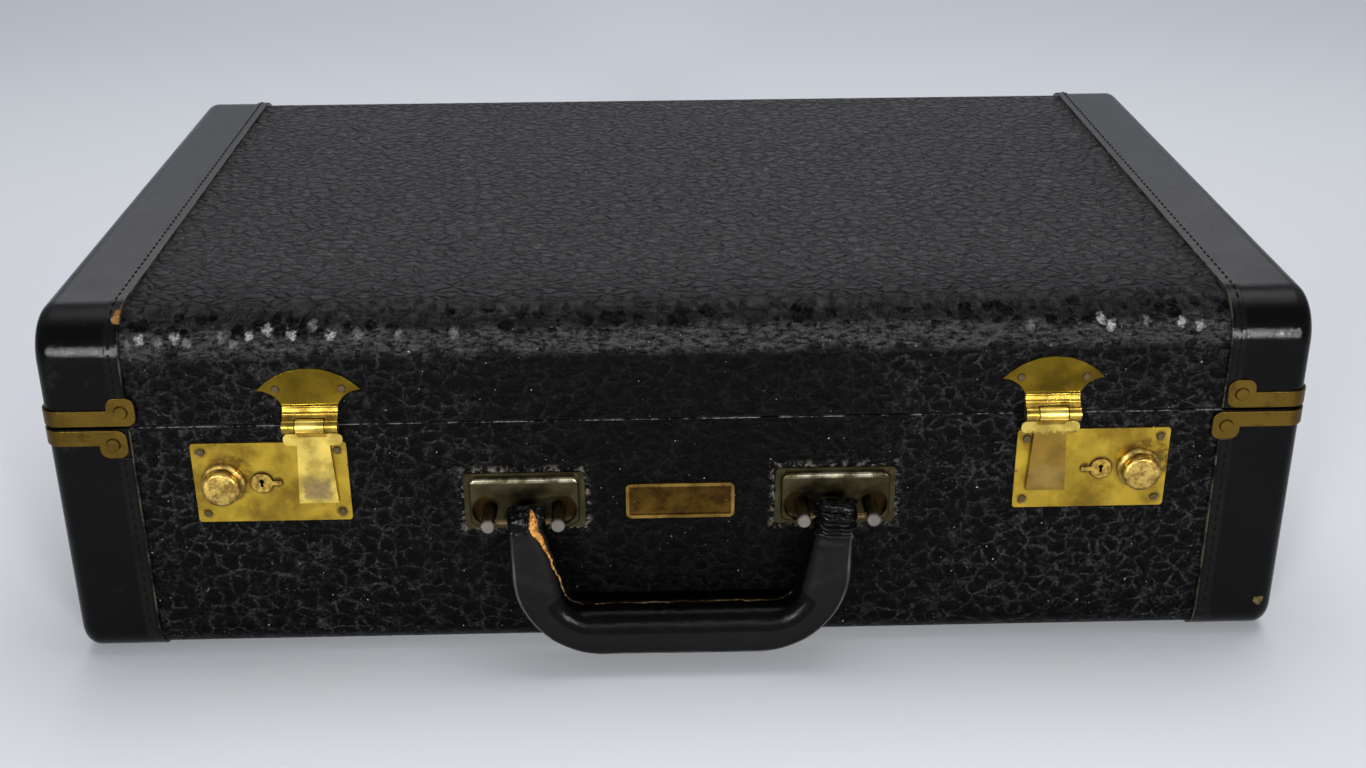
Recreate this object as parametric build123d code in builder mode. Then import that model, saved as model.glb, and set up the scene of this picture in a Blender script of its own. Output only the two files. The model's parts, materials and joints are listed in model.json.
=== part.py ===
"""Leather suitcase: a board case covered in leather, with a hinged lid, two hasp locks and a handle.

Millimetres. +X is to the right of someone who faces the locks, -Y points at them and +Z is up.
The case lies flat, as when it is packed. The origin is on the table, under the middle of the
whole footprint, which the handle in front and the studs at the back widen.
"""

import os

from build123d import *

os.makedirs("parts", exist_ok=True)

# The case over all
case_width = 519.5
case_depth = 335.0
case_height = 158.0
seam_share = 0.6962
seam_gap = 1.0
corner_radius = 7.0
top_edge_radius = 20.0
bottom_edge_radius = 14.0

# Its layers, from the outside in
end_leather = 2.2
field_leather = 1.2
board_wall = 5.0
lining_cloth = 0.8
least_inside_radius = 1.0
least_size = 0.001

# The leather end caps and the stitched strip along each cap's inner edge
end_cap_reach = 35.0
edge_strip_width = 5.8
edge_strip_rise = 0.7

# The lip inside the base that centres the lid
lip_wall = 2.0
lip_rise = 6.0
lip_depth = 24.0
lip_clearance = 2.0

# The cloth pocket in the lid
pocket_side_gap = 79.75
pocket_front_gap = 82.5
pocket_thickness = 6.0
pocket_corner = 14.0
pocket_crown = 4.0

# Brass bands round the upright corners
band_thickness = 1.0
band_height = 7.0
band_from_seam = 0.4
band_front_reach = 30.25
band_stagger = 2.4
band_side_reach = 38.0
ear_width = 11.6
ear_height = 12.6
ear_corner = 4.0
ear_rivet_radius = 3.0
ear_rivet_height = 0.9
rivet_shank_radius = 1.2

# Lock plates
plate_from_cap = 21.75
locks_right_of_centre = 1.5
lock_below_seam = 26.2
plate_width = 64.0
plate_height = 36.5
plate_corner = 1.5
plate_thickness = 1.0
plate_nail_inset = 4.0
nail_head_radius = 1.8
nail_head_height = 0.6
nail_shank_radius = 0.9
head_taper = 30.0
lock_case_width = 56.0
lock_case_height = 29.0
lock_case_depth = 5.4

# Sliding knobs
knob_from_plate_middle = 20.0
knob_flange_radius = 9.2
knob_head_radius = 7.2
knob_neck_radius = 6.0
knob_shank_radius = 3.0
knob_stands_out = 10.5
knob_flange_thickness = 1.6
knob_neck_length = 1.4
knob_edge = 1.0
knob_shank_reach = 4.0
knob_travel = 5.0
knob_slot_clearance = 0.3
knob_lift = 0.3

# Key cylinders
key_from_plate_middle = 4.0
key_radius = 4.4
key_stands_out = 1.0
key_reach = 4.4
key_pointer_length = 8.2
key_pointer_width = 1.8
key_pointer_thickness = 0.5
keyhole_radius = 1.0
keyhole_slot = 3.6
keyhole_slot_width = 1.1
keyhole_depth = 1.6

# Hasps: leaf, pin, tongue and catch
hasp_from_plate_middle = 19.0
hasp_axis_out = 4.4
hasp_axis_above_seam = 0.9
barrel_radius = 3.2
hasp_pin_radius = 1.6
leaf_thickness = 1.0
fan_width = 42.0
fan_tip_above_seam = 15.5
fan_top_above_seam = 25.0
fan_hollow = 1.9
neck_width = 22.6
neck_top_above_seam = 8.3
neck_step_above_seam = 9.4
bead_radius = 0.8
bead_above_seam = 5.6
bead_out = 2.5
leaf_nail_spread = 13.4
leaf_nail_above_seam = 16.0
tongue_knuckle_width = 11.6
knuckle_clearance = 0.4
tongue_thickness = 1.3
tongue_lift = 0.5
tongue_bar_width = 24.3
tongue_bar_below_seam = 3.5
tongue_bar_height = 5.2
tongue_bar_corner = 2.2
tongue_neck_width = 13.4
tongue_end_width = 16.4
tongue_end_below_seam = 35.5
tongue_bend = 1.4
catch_width = 4.6
catch_below_seam = 21.5
catch_height = 7.5
catch_depth = 2.8
catch_eye_radius = 1.3
catch_side_clearance = 0.5
catch_swing_clearance = 1.4
catch_back_clearance = 0.6

# Handle mounts
mount_spacing = 130.4
mount_width = 50.4
mount_below_axis = 10.0
mount_above_axis = 16.0
mount_flange_thickness = 1.0
mount_corner = 2.0
mount_box_width = 45.8
mount_box_inset = 2.4
mount_box_top_inset = 1.2
mount_box_rise = 4.0
mount_box_corner = 3.2
mount_box_edge = 1.2
niche_radius = 7.4
niche_floor = 1.5
post_spacing = 28.8
post_radius = 3.0
post_length = 18.5
post_edge = 0.5
handle_axis_below_seam = 40.0
handle_axis_out = 14.0
handle_pin_radius = 1.5
handle_pin_length = 33.0

# Handle
leg_side_from_mount = 6.3
handle_bottom = 8.5
handle_outer_corner = 40.0
grip_height = 21.0
grip_depth = 20.0
leg_top_width = 15.6
leg_low_width = 23.0
inner_corner = 9.0
leg_end_radius = 7.0
leg_taper_low = 24.0
grip_inner_edge = 8.0
grip_outer_edge = 3.0
strap_thickness = 2.0
strap_width = 9.0
strap_corner = 24.0

# Bare name plate
name_plate_width = 45.6
name_plate_height = 16.2
name_plate_above_axis = 1.8
name_plate_thickness = 1.4
name_plate_corner = 2.4
name_plate_rim = 1.8
name_plate_sunk = 0.5
name_nail_inset = 3.4
name_nail_radius = 0.8
name_nail_shank = 0.45

# Butt hinges at the back
hinge_from_side = 109.75
hinge_width = 44.0
hinge_leaf_height = 18.0
hinge_leaf_thickness = 1.2
hinge_leaf_corner = 2.0
hinge_axis_out = 4.0
hinge_barrel_radius = 2.7
hinge_pin_radius = 1.4
hinge_knuckles = 5
hinge_knuckle_gap = 0.3
hinge_leaf_from_axis = 4.5
hinge_rivet_spread = 15.0
hinge_rivet_drop = 10.5

# Studs on the hinge side
stud_radius = 6.0
stud_height = 8.0
stud_from_side = 49.75
stud_edge = 2.5
stud_from_end = 30.0

# Fits
running_clearance = 0.06

# Places that follow from the sizes above
seam_height = case_height * seam_share
handle_width = mount_spacing + 2 * leg_side_from_mount
handle_front = handle_axis_out + grip_depth / 2
case_y = (handle_front - stud_height) / 2
front_y = case_y - case_depth / 2
back_y = case_y + case_depth / 2
base_top = seam_height - seam_gap / 2
lid_bottom = seam_height + seam_gap / 2
board_depth = case_depth - 2 * field_leather
cap_depth = board_depth + 2 * end_leather
cap_proud = end_leather - field_leather
field_width = case_width - 2 * end_cap_reach
pocket_width = case_width - 2 * pocket_side_gap
pocket_length = case_depth - 2 * pocket_front_gap
band_end_x = case_width / 2 - band_front_reach
lock_spacing = field_width - plate_width - 2 * plate_from_cap
lock_height = seam_height - lock_below_seam
hasp_axis_height = seam_height + hasp_axis_above_seam
fan_tip_height = seam_height + fan_tip_above_seam
fan_top_height = seam_height + fan_top_above_seam
neck_top_height = seam_height + neck_top_above_seam
neck_step_height = seam_height + neck_step_above_seam
bead_height = seam_height + bead_above_seam
leaf_nail_height = seam_height + leaf_nail_above_seam
tongue_bar_top = seam_height - tongue_bar_below_seam
tongue_bar_bottom = tongue_bar_top - tongue_bar_height
tongue_end_height = seam_height - tongue_end_below_seam
catch_high = seam_height - catch_below_seam
catch_low = catch_high - catch_height
handle_axis_height = seam_height - handle_axis_below_seam
mount_low = handle_axis_height - mount_below_axis
mount_high = handle_axis_height + mount_above_axis
mount_box_low = mount_low + mount_box_inset
mount_box_high = mount_high - mount_box_top_inset
name_plate_middle = handle_axis_height + name_plate_above_axis
hinge_spacing = case_width - 2 * hinge_from_side
stud_spacing = case_width - 2 * stud_from_side
front = Plane(origin=(0, front_y, 0), x_dir=(1, 0, 0), z_dir=(0, -1, 0))
back = Plane(origin=(0, back_y, 0), x_dir=(-1, 0, 0), z_dir=(0, 1, 0))
sides = {"left": -1, "right": 1}


def lock_x(side):
    """Middle of a lock plate."""
    return side * lock_spacing / 2 + locks_right_of_centre


def hasp_x(side):
    """Middle of a hasp, on the inner part of its lock plate."""
    return lock_x(side) - side * hasp_from_plate_middle


def front_section(x):
    """Upright plane across the front face: its x runs outwards and its y runs up."""
    return Plane(origin=(x, front_y, 0), x_dir=(0, -1, 0), z_dir=(-1, 0, 0))


def back_section(x):
    """The same across the back face."""
    return Plane(origin=(x, back_y, 0), x_dir=(0, 1, 0), z_dir=(1, 0, 0))


def save(piece, name):
    """Label a finished piece and write it as a node of its own."""
    piece.part.label = name
    export_step(piece.part, f"parts/{name}.step")


def inside_radius(radius, wall):
    """Radius of a rounded edge on the inner face of a wall."""
    return max(radius - wall, least_inside_radius)


def wrap_outline(inset, low, high, closed_top):
    """Section of the case from front to back, taken in by inset, with its closed end rounded."""
    edge = top_edge_radius if closed_top else bottom_edge_radius
    with BuildSketch() as outline:
        with Locations((0, (low + high) / 2)):
            Rectangle(cap_depth - 2 * inset, high - low)
        ends = outline.vertices().group_by(Axis.Y)
        fillet(ends[-1] if closed_top else ends[0], inside_radius(edge, inset))
    return outline.sketch


def half_block(inset, closed_top, open_end):
    """Half of the case, base or lid, as a solid taken in from the face of the end caps by inset.

    It is the section from front to back, run across the case, with the corners of its ends rounded.
    """
    low = open_end if closed_top else inset
    high = case_height - inset if closed_top else open_end
    half_width = case_width / 2 - inset
    section = Plane(origin=(-half_width, case_y, 0), x_dir=(0, 1, 0), z_dir=(1, 0, 0))
    with BuildPart() as block:
        with BuildSketch(section):
            add(wrap_outline(inset, low, high, closed_top))
        extrude(amount=2 * half_width)
        end_edges = block.edges().filter_by(
            lambda edge: abs(edge.center().X) > half_width - least_size
        )
        open_edges = end_edges.group_by(Axis.Z)[0 if closed_top else -1]
        corners = end_edges.filter_by(lambda edge: edge not in open_edges)
        fillet(corners, inside_radius(corner_radius, inset))
    return block.part


def wrapped_strip(thickness, x_from, x_to, inset, open_end, closed_top):
    """A sheet wrapped over the case from front to back, between two places across its width."""
    if closed_top:
        outer = wrap_outline(inset, open_end, case_height - inset, True)
        inner = wrap_outline(inset + thickness, open_end, case_height - inset - thickness, True)
    else:
        outer = wrap_outline(inset, inset, open_end, False)
        inner = wrap_outline(inset + thickness, inset + thickness, open_end, False)
    with BuildPart() as strip:
        with BuildSketch(Plane(origin=(x_from, case_y, 0), x_dir=(0, 1, 0), z_dir=(1, 0, 0))):
            add(outer)
            add(inner, mode=Mode.SUBTRACT)
        extrude(amount=x_to - x_from)
    return strip


def heads(plane, points, head_radius, head_height, shank_radius, shank_length):
    """Nails or rivets: low tapered heads on a face, each with its shank through the plate below."""
    with BuildPart() as fasteners:
        with BuildSketch(plane):
            with Locations(*points):
                Circle(head_radius)
        extrude(amount=head_height, taper=head_taper)
        with BuildSketch(plane):
            with Locations(*points):
                Circle(shank_radius)
        extrude(amount=-shank_length)
    return fasteners


# Board tray of the base, with a recess behind each lock plate and a groove for each catch
catch_groove_width = catch_width + 2 * catch_side_clearance
catch_groove_low = catch_low - catch_swing_clearance
catch_groove_depth = catch_depth + catch_back_clearance


with BuildPart() as lock_recesses:
    with BuildSketch(front):
        with Locations(*[(lock_x(side), lock_height) for side in sides.values()]):
            Rectangle(lock_case_width, lock_case_height)
    extrude(amount=-lock_case_depth)
    with BuildSketch(front):
        groove_middle = (lock_height + base_top) / 2
        with Locations(*[(hasp_x(side), groove_middle) for side in sides.values()]):
            Rectangle(catch_groove_width, base_top - lock_height)
    extrude(amount=-catch_groove_depth)

base_board = half_block(end_leather, False, base_top)
base_inside = half_block(end_leather + board_wall, False, base_top)
with BuildPart() as base_shell:
    add(base_board)
    add(base_inside, mode=Mode.SUBTRACT)
    add(lock_recesses.part, mode=Mode.SUBTRACT)
save(base_shell, "base_shell")

lid_board = half_block(end_leather, True, lid_bottom)
lid_inside = half_block(end_leather + board_wall, True, lid_bottom)
with BuildPart() as lid_shell:
    add(lid_board)
    add(lid_inside, mode=Mode.SUBTRACT)
save(lid_shell, "lid_shell")

# Linings. The lid's stops above the base's lip, so that the lip has room.
lid_lining_bottom = seam_height + lip_rise + lip_clearance
lining_inset = end_leather + board_wall
lip_inset = lining_inset + lining_cloth

base_room = half_block(lip_inset, False, base_top)
with BuildPart() as base_lining:
    add(base_inside)
    add(base_room, mode=Mode.SUBTRACT)
save(base_lining, "base_lining")

lid_lining_outside = half_block(lining_inset, True, lid_lining_bottom)
lid_room = half_block(lip_inset, True, lid_lining_bottom)
with BuildPart() as lid_lining:
    add(lid_lining_outside)
    add(lid_room, mode=Mode.SUBTRACT)
save(lid_lining, "lid_lining")

# Lip: a thin board strip all round the inside of the base, standing up past the seam
with BuildPart() as base_lip:
    with BuildSketch(Plane(origin=(0, case_y, base_top - lip_depth))):
        for inset, mode in ((lip_inset, Mode.ADD), (lip_inset + lip_wall, Mode.SUBTRACT)):
            RectangleRounded(
                case_width - 2 * inset,
                cap_depth - 2 * inset,
                inside_radius(corner_radius, inset),
                mode=mode,
            )
    extrude(amount=lip_depth + seam_gap / 2 + lip_rise)
save(base_lip, "base_lip")

# Cloth pocket, gathered on the inside of the lid
with BuildPart() as lid_pocket:
    pocket_top = case_height - lip_inset
    with BuildSketch(Plane(origin=(0, case_y, pocket_top - pocket_thickness))):
        RectangleRounded(pocket_width, pocket_length, pocket_corner)
    extrude(amount=pocket_thickness)
    fillet(lid_pocket.faces().sort_by(Axis.Z)[0].edges(), pocket_crown)
save(lid_pocket, "lid_pocket")

# Grained leather, wrapped from front to back between the end caps
base_wrap = wrapped_strip(
    field_leather, -field_width / 2, field_width / 2, cap_proud, base_top, False
)
with BuildPart() as base_cover:
    add(base_wrap.part)
    add(lock_recesses.part, mode=Mode.SUBTRACT)
save(base_cover, "base_cover")

lid_cover = wrapped_strip(
    field_leather, -field_width / 2, field_width / 2, cap_proud, lid_bottom, True
)
save(lid_cover, "lid_cover")

# Smooth leather end caps, a little proud of the grained leather
base_outside = half_block(0, False, base_top)
lid_outside = half_block(0, True, lid_bottom)
for name, side in sides.items():
    inner_edge = Plane(origin=(side * field_width / 2, 0, 0), z_dir=(side, 0, 0))
    with BuildPart() as base_end:
        add(base_outside)
        add(base_board, mode=Mode.SUBTRACT)
        split(bisect_by=inner_edge, keep=Keep.TOP)
    save(base_end, f"base_end_{name}")

    with BuildPart() as lid_end:
        add(lid_outside)
        add(lid_board, mode=Mode.SUBTRACT)
        split(bisect_by=inner_edge, keep=Keep.TOP)
    save(lid_end, f"lid_end_{name}")

# Stitched strips along the caps' inner edges. They stop at the ears of the brass bands.
ear_reach = band_from_seam + ear_height

for name, side in sides.items():
    near = side * field_width / 2
    far = near + side * edge_strip_width
    strip_ends = (min(near, far), max(near, far))
    lid_edge = wrapped_strip(
        edge_strip_rise, *strip_ends, -edge_strip_rise, lid_bottom + ear_reach, True
    )
    save(lid_edge, f"lid_edge_{name}")

    with BuildPart() as base_edge:
        for y_side in (-1, 1):
            strip_y = case_y + y_side * (cap_depth / 2 + edge_strip_rise / 2)
            strip_z = (bottom_edge_radius + base_top - ear_reach) / 2
            with Locations(((near + far) / 2, strip_y, strip_z)):
                Box(
                    edge_strip_width,
                    edge_strip_rise,
                    base_top - ear_reach - bottom_edge_radius,
                )
    save(base_edge, f"base_edge_{name}")

# Brass bands: one round each upright corner of the base and the lid, with an ear at each end
side_ear_y = cap_depth / 2 - band_side_reach


def ear_planes(x_shift):
    """Planes on the cap leather for the eight ears of one half, with each ear's place along it."""
    places = []
    for x_side in (-1, 1):
        end_x = x_side * band_end_x + x_shift
        places.append((front.offset(cap_proud), end_x))
        places.append((back.offset(cap_proud), -end_x))
        side_plane = Plane(
            origin=(x_side * case_width / 2, case_y, 0),
            x_dir=(0, x_side, 0),
            z_dir=(x_side, 0, 0),
        )
        places.append((side_plane, side_ear_y))
        places.append((side_plane, -side_ear_y))
    return places


def corner_bands(band_low, ear_middle, x_shift):
    """The four bands of one half, as one group."""
    with BuildPart() as bands:
        with BuildSketch(Plane(origin=(0, case_y, band_low))):
            for grow, mode in ((band_thickness, Mode.ADD), (0, Mode.SUBTRACT)):
                RectangleRounded(
                    case_width + 2 * grow, cap_depth + 2 * grow, corner_radius + grow, mode=mode
                )
            with Locations((x_shift, 0)):
                Rectangle(2 * band_end_x, 2 * cap_depth, mode=Mode.SUBTRACT)
            Rectangle(2 * case_width, 2 * side_ear_y, mode=Mode.SUBTRACT)
        extrude(amount=band_height)
        for plane, place in ear_planes(x_shift):
            with BuildSketch(plane):
                with Locations((place, ear_middle)):
                    RectangleRounded(ear_width, ear_height, ear_corner)
            extrude(amount=band_thickness)
            with BuildSketch(plane):
                with Locations((place, ear_middle)):
                    Circle(rivet_shank_radius)
            extrude(amount=band_thickness, mode=Mode.SUBTRACT)
    return bands


def band_rivets(rivet_height, x_shift):
    """The rivets of one half's ears, as one group."""
    each = [
        heads(
            plane.offset(band_thickness),
            [(place, rivet_height)],
            ear_rivet_radius,
            ear_rivet_height,
            rivet_shank_radius,
            band_thickness,
        )
        for plane, place in ear_planes(x_shift)
    ]
    with BuildPart() as rivets:
        add([rivet.part for rivet in each])
    return rivets


lid_ear_middle = lid_bottom + band_from_seam + ear_height / 2
base_ear_middle = base_top - band_from_seam - ear_height / 2
save(corner_bands(lid_bottom + band_from_seam, lid_ear_middle, band_stagger), "lid_corner_bands")
save(
    corner_bands(base_top - band_from_seam - band_height, base_ear_middle, -band_stagger),
    "base_corner_bands",
)
save(band_rivets(lid_ear_middle, band_stagger), "lid_band_rivets")
save(band_rivets(base_ear_middle, -band_stagger), "base_band_rivets")


# Locks: plate, lock case behind it, sliding knob and key cylinder
def plate_nails(side):
    """Places of a lock plate's four nails on the front."""
    across = plate_width / 2 - plate_nail_inset
    up = plate_height / 2 - plate_nail_inset
    return [
        (lock_x(side) + x_sign * across, lock_height + z_sign * up)
        for x_sign in (-1, 1)
        for z_sign in (-1, 1)
    ]


for name, side in sides.items():
    key_x = lock_x(side) + side * key_from_plate_middle
    knob_x = lock_x(side) + side * knob_from_plate_middle
    slot_x = knob_x + side * knob_travel / 2
    slot_width = 2 * (knob_shank_radius + knob_slot_clearance)
    plate_top = lock_height + plate_height / 2
    with BuildPart() as lock_plate:
        with BuildSketch(front):
            with Locations((lock_x(side), lock_height)):
                RectangleRounded(plate_width, plate_height, plate_corner)
            with Locations(*plate_nails(side)):
                Circle(nail_shank_radius, mode=Mode.SUBTRACT)
            with Locations((slot_x, lock_height)):
                SlotCenterToCenter(knob_travel, slot_width, mode=Mode.SUBTRACT)
            with Locations((key_x, lock_height)):
                Circle(key_radius + running_clearance, mode=Mode.SUBTRACT)
            with Locations((hasp_x(side), (catch_groove_low + plate_top) / 2)):
                Rectangle(catch_groove_width, plate_top - catch_groove_low, mode=Mode.SUBTRACT)
        extrude(amount=plate_thickness)
    save(lock_plate, f"lock_plate_{name}")

    with BuildPart() as lock_case:
        with BuildSketch(front):
            with Locations((lock_x(side), lock_height)):
                Rectangle(lock_case_width, lock_case_height)
        extrude(amount=-lock_case_depth)
        with BuildSketch(front):
            with Locations((slot_x, lock_height)):
                SlotCenterToCenter(knob_travel, slot_width)
        extrude(amount=-knob_shank_reach - knob_lift, mode=Mode.SUBTRACT)
        with BuildSketch(front):
            with Locations((key_x, lock_height)):
                Circle(key_radius + running_clearance)
        extrude(amount=-key_reach, mode=Mode.SUBTRACT)
        with BuildSketch(front):
            case_top = lock_height + lock_case_height / 2
            with Locations((hasp_x(side), (catch_groove_low + case_top) / 2)):
                Rectangle(catch_groove_width, case_top - catch_groove_low)
        extrude(amount=-catch_groove_depth, mode=Mode.SUBTRACT)
    save(lock_case, f"lock_case_{name}")

    with BuildPart() as knob:
        flange_back = plate_thickness + knob_lift
        flange_front = flange_back + knob_flange_thickness
        neck_front = flange_front + knob_neck_length
        face = plate_thickness + knob_stands_out
        with BuildSketch(
            Plane(origin=(knob_x, front_y, lock_height), x_dir=(0, -1, 0), z_dir=(-1, 0, 0))
        ):
            with BuildLine():
                Polyline(
                    (-knob_shank_reach, 0),
                    (-knob_shank_reach, knob_shank_radius),
                    (flange_back, knob_shank_radius),
                    (flange_back, knob_flange_radius),
                    (flange_front - knob_edge / 2, knob_flange_radius),
                    (flange_front, knob_flange_radius - knob_edge),
                    (flange_front, knob_neck_radius),
                    (neck_front, knob_neck_radius),
                    (neck_front + knob_edge, knob_head_radius),
                    (face - knob_edge, knob_head_radius),
                    (face - knob_edge / 4, knob_head_radius - knob_edge),
                    (face, 0),
                    close=True,
                )
            make_face()
        revolve(axis=Axis((knob_x, front_y, lock_height), (0, -1, 0)))
    save(knob, f"knob_{name}")

    with BuildPart() as key_cylinder:
        with BuildSketch(front.offset(-key_reach)):
            with Locations((key_x, lock_height)):
                Circle(key_radius)
        extrude(amount=key_reach + plate_thickness + key_stands_out)
        with BuildSketch(front.offset(plate_thickness + key_stands_out - key_pointer_thickness)):
            with Locations((key_x - side * key_pointer_length / 2, lock_height)):
                Rectangle(key_pointer_length, key_pointer_width)
        extrude(amount=key_pointer_thickness)
        with BuildSketch(front.offset(plate_thickness + key_stands_out)):
            with Locations((key_x, lock_height + keyhole_slot / 2 - keyhole_radius)):
                Circle(keyhole_radius)
            with Locations((key_x, lock_height)):
                Rectangle(keyhole_slot_width, keyhole_slot)
        extrude(amount=-keyhole_depth, mode=Mode.SUBTRACT)
    save(key_cylinder, f"key_cylinder_{name}")

lock_plate_nails = heads(
    front.offset(plate_thickness),
    [point for side in sides.values() for point in plate_nails(side)],
    nail_head_radius,
    nail_head_height,
    nail_shank_radius,
    plate_thickness,
)
save(lock_plate_nails, "lock_plate_nails")


# Hasps: a fan-shaped leaf nailed to the lid, and a tongue that hangs from it on a pin
def leaf_nails(side):
    """Places of a hasp leaf's two nails on the front."""
    return [(hasp_x(side) + x_sign * leaf_nail_spread, leaf_nail_height) for x_sign in (-1, 1)]


for name, side in sides.items():
    middle = hasp_x(side)
    with BuildPart() as hasp_leaf:
        with BuildSketch(front):
            with BuildLine():
                tip_left = (middle - fan_width / 2, fan_tip_height)
                tip_right = (middle + fan_width / 2, fan_tip_height)
                neck_left = (middle - neck_width / 2, neck_top_height)
                neck_right = (middle + neck_width / 2, neck_top_height)
                ThreePointArc(tip_left, (middle, fan_top_height), tip_right)
                SagittaArc(tip_right, neck_right, -fan_hollow)
                Line(neck_right, neck_left)
                SagittaArc(neck_left, tip_left, -fan_hollow)
            make_face()
            with Locations(*leaf_nails(side)):
                Circle(nail_shank_radius, mode=Mode.SUBTRACT)
        extrude(amount=leaf_thickness)
        with BuildSketch(front_section(middle)):
            with BuildLine():
                Polyline(
                    (0, neck_step_height),
                    (leaf_thickness, neck_step_height),
                    (bead_out, bead_height),
                    (hasp_axis_out, hasp_axis_height + barrel_radius),
                    (hasp_axis_out, hasp_axis_height),
                    (hasp_axis_out - barrel_radius, hasp_axis_height),
                    (0, neck_top_height - barrel_radius),
                    close=True,
                )
            make_face()
            with Locations((hasp_axis_out, hasp_axis_height)):
                Circle(barrel_radius)
            with Locations((bead_out, bead_height), (leaf_thickness, neck_top_height)):
                Circle(bead_radius)
            with Locations((hasp_axis_out, hasp_axis_height)):
                Circle(hasp_pin_radius + running_clearance, mode=Mode.SUBTRACT)
        extrude(amount=neck_width / 2, both=True)
        with BuildSketch(front_section(middle)):
            with Locations((hasp_axis_out, hasp_axis_height)):
                Circle(barrel_radius + knuckle_clearance)
        extrude(
            amount=tongue_knuckle_width / 2 + knuckle_clearance, both=True, mode=Mode.SUBTRACT
        )
    save(hasp_leaf, f"hasp_leaf_{name}")

    with BuildPart() as hasp_pin:
        with BuildSketch(front_section(middle)):
            with Locations((hasp_axis_out, hasp_axis_height)):
                Circle(hasp_pin_radius)
        extrude(amount=neck_width / 2, both=True)
    save(hasp_pin, f"hasp_pin_{name}")

    tongue_back = plate_thickness + tongue_lift
    tongue_front = tongue_back + tongue_thickness
    with BuildPart() as hasp_tongue:
        with BuildSketch(front.offset(tongue_back)):
            with BuildLine():
                Polyline(
                    (middle - tongue_neck_width / 2, tongue_bar_bottom),
                    (middle + tongue_neck_width / 2, tongue_bar_bottom),
                    (middle + tongue_end_width / 2, tongue_end_height),
                    (middle - tongue_end_width / 2, tongue_end_height),
                    close=True,
                )
            make_face()
            with Locations((middle, (tongue_bar_top + tongue_bar_bottom) / 2)):
                RectangleRounded(
                    tongue_bar_width, tongue_bar_top - tongue_bar_bottom, tongue_bar_corner
                )
        extrude(amount=tongue_thickness)
        with BuildSketch(front_section(middle)):
            with BuildLine():
                Polyline(
                    (tongue_back, tongue_bar_top - tongue_bend),
                    (tongue_front, tongue_bar_top - tongue_bend),
                    (hasp_axis_out + barrel_radius, hasp_axis_height - tongue_bend),
                    (hasp_axis_out, hasp_axis_height),
                    (hasp_axis_out - barrel_radius, hasp_axis_height - tongue_bend),
                    close=True,
                )
            make_face()
            with Locations((hasp_axis_out, hasp_axis_height)):
                Circle(barrel_radius)
            with Locations((hasp_axis_out, hasp_axis_height)):
                Circle(hasp_pin_radius + running_clearance, mode=Mode.SUBTRACT)
        extrude(amount=tongue_knuckle_width / 2, both=True)
    save(hasp_tongue, f"hasp_tongue_{name}")

    with BuildPart() as hasp_catch:
        with BuildSketch(front_section(middle)):
            with BuildLine():
                Polyline(
                    (tongue_back, catch_low),
                    (-catch_depth, catch_low),
                    (-catch_depth, catch_high),
                    (tongue_back, catch_high),
                    close=True,
                )
            make_face()
            with Locations((0, (catch_low + catch_high) / 2)):
                Circle(catch_eye_radius, mode=Mode.SUBTRACT)
        extrude(amount=catch_width / 2, both=True)
    save(hasp_catch, f"hasp_catch_{name}")

hasp_leaf_nails = heads(
    front.offset(leaf_thickness),
    [point for side in sides.values() for point in leaf_nails(side)],
    nail_head_radius,
    nail_head_height,
    nail_shank_radius,
    leaf_thickness,
)
save(hasp_leaf_nails, "hasp_leaf_nails")

# Handle mounts: a stamped plate with two niches, a post in each niche and a pin across
post_places = {}
for name, side in sides.items():
    mount_x = side * mount_spacing / 2
    post_places[name] = [
        (mount_x + x_sign * post_spacing / 2, handle_axis_height) for x_sign in (-1, 1)
    ]
    with BuildPart() as handle_mount:
        with BuildSketch(front):
            with Locations((mount_x, (mount_low + mount_high) / 2)):
                RectangleRounded(mount_width, mount_high - mount_low, mount_corner)
        extrude(amount=mount_flange_thickness)
        with BuildSketch(front):
            with Locations((mount_x, (mount_box_low + mount_box_high) / 2)):
                RectangleRounded(
                    mount_box_width, mount_box_high - mount_box_low, mount_box_corner
                )
        extrude(amount=mount_box_rise)
        fillet(handle_mount.faces().sort_by(Axis.Y)[0].edges(), mount_box_edge)
        with BuildSketch(front.offset(niche_floor)):
            with Locations(*post_places[name]):
                Circle(niche_radius)
        extrude(amount=mount_box_rise, mode=Mode.SUBTRACT)
        with BuildSketch(front):
            with Locations(*post_places[name]):
                Circle(post_radius)
        extrude(amount=niche_floor, mode=Mode.SUBTRACT)
    save(handle_mount, f"handle_mount_{name}")

with BuildPart() as handle_posts:
    with BuildSketch(front):
        with Locations(*post_places["left"], *post_places["right"]):
            Circle(post_radius)
    extrude(amount=post_length)
    chamfer(handle_posts.faces().group_by(Axis.Y)[0].edges(), post_edge)
    with BuildSketch(front_section(0)):
        with Locations((handle_axis_out, handle_axis_height)):
            Circle(handle_pin_radius)
    extrude(amount=case_width / 2, both=True, mode=Mode.SUBTRACT)
save(handle_posts, "handle_posts")

with BuildPart() as handle_pins:
    for side in sides.values():
        with BuildSketch(front_section(side * mount_spacing / 2)):
            with Locations((handle_axis_out, handle_axis_height)):
                Circle(handle_pin_radius)
        extrude(amount=handle_pin_length / 2, both=True)
save(handle_pins, "handle_pins")

# Handle: leather over a steel strap, both turning on the pins
strap_x = handle_width / 2 - leg_top_width / 2
strap_top = handle_axis_height + strap_width / 2
strap_low = handle_bottom + grip_height / 2

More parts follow.
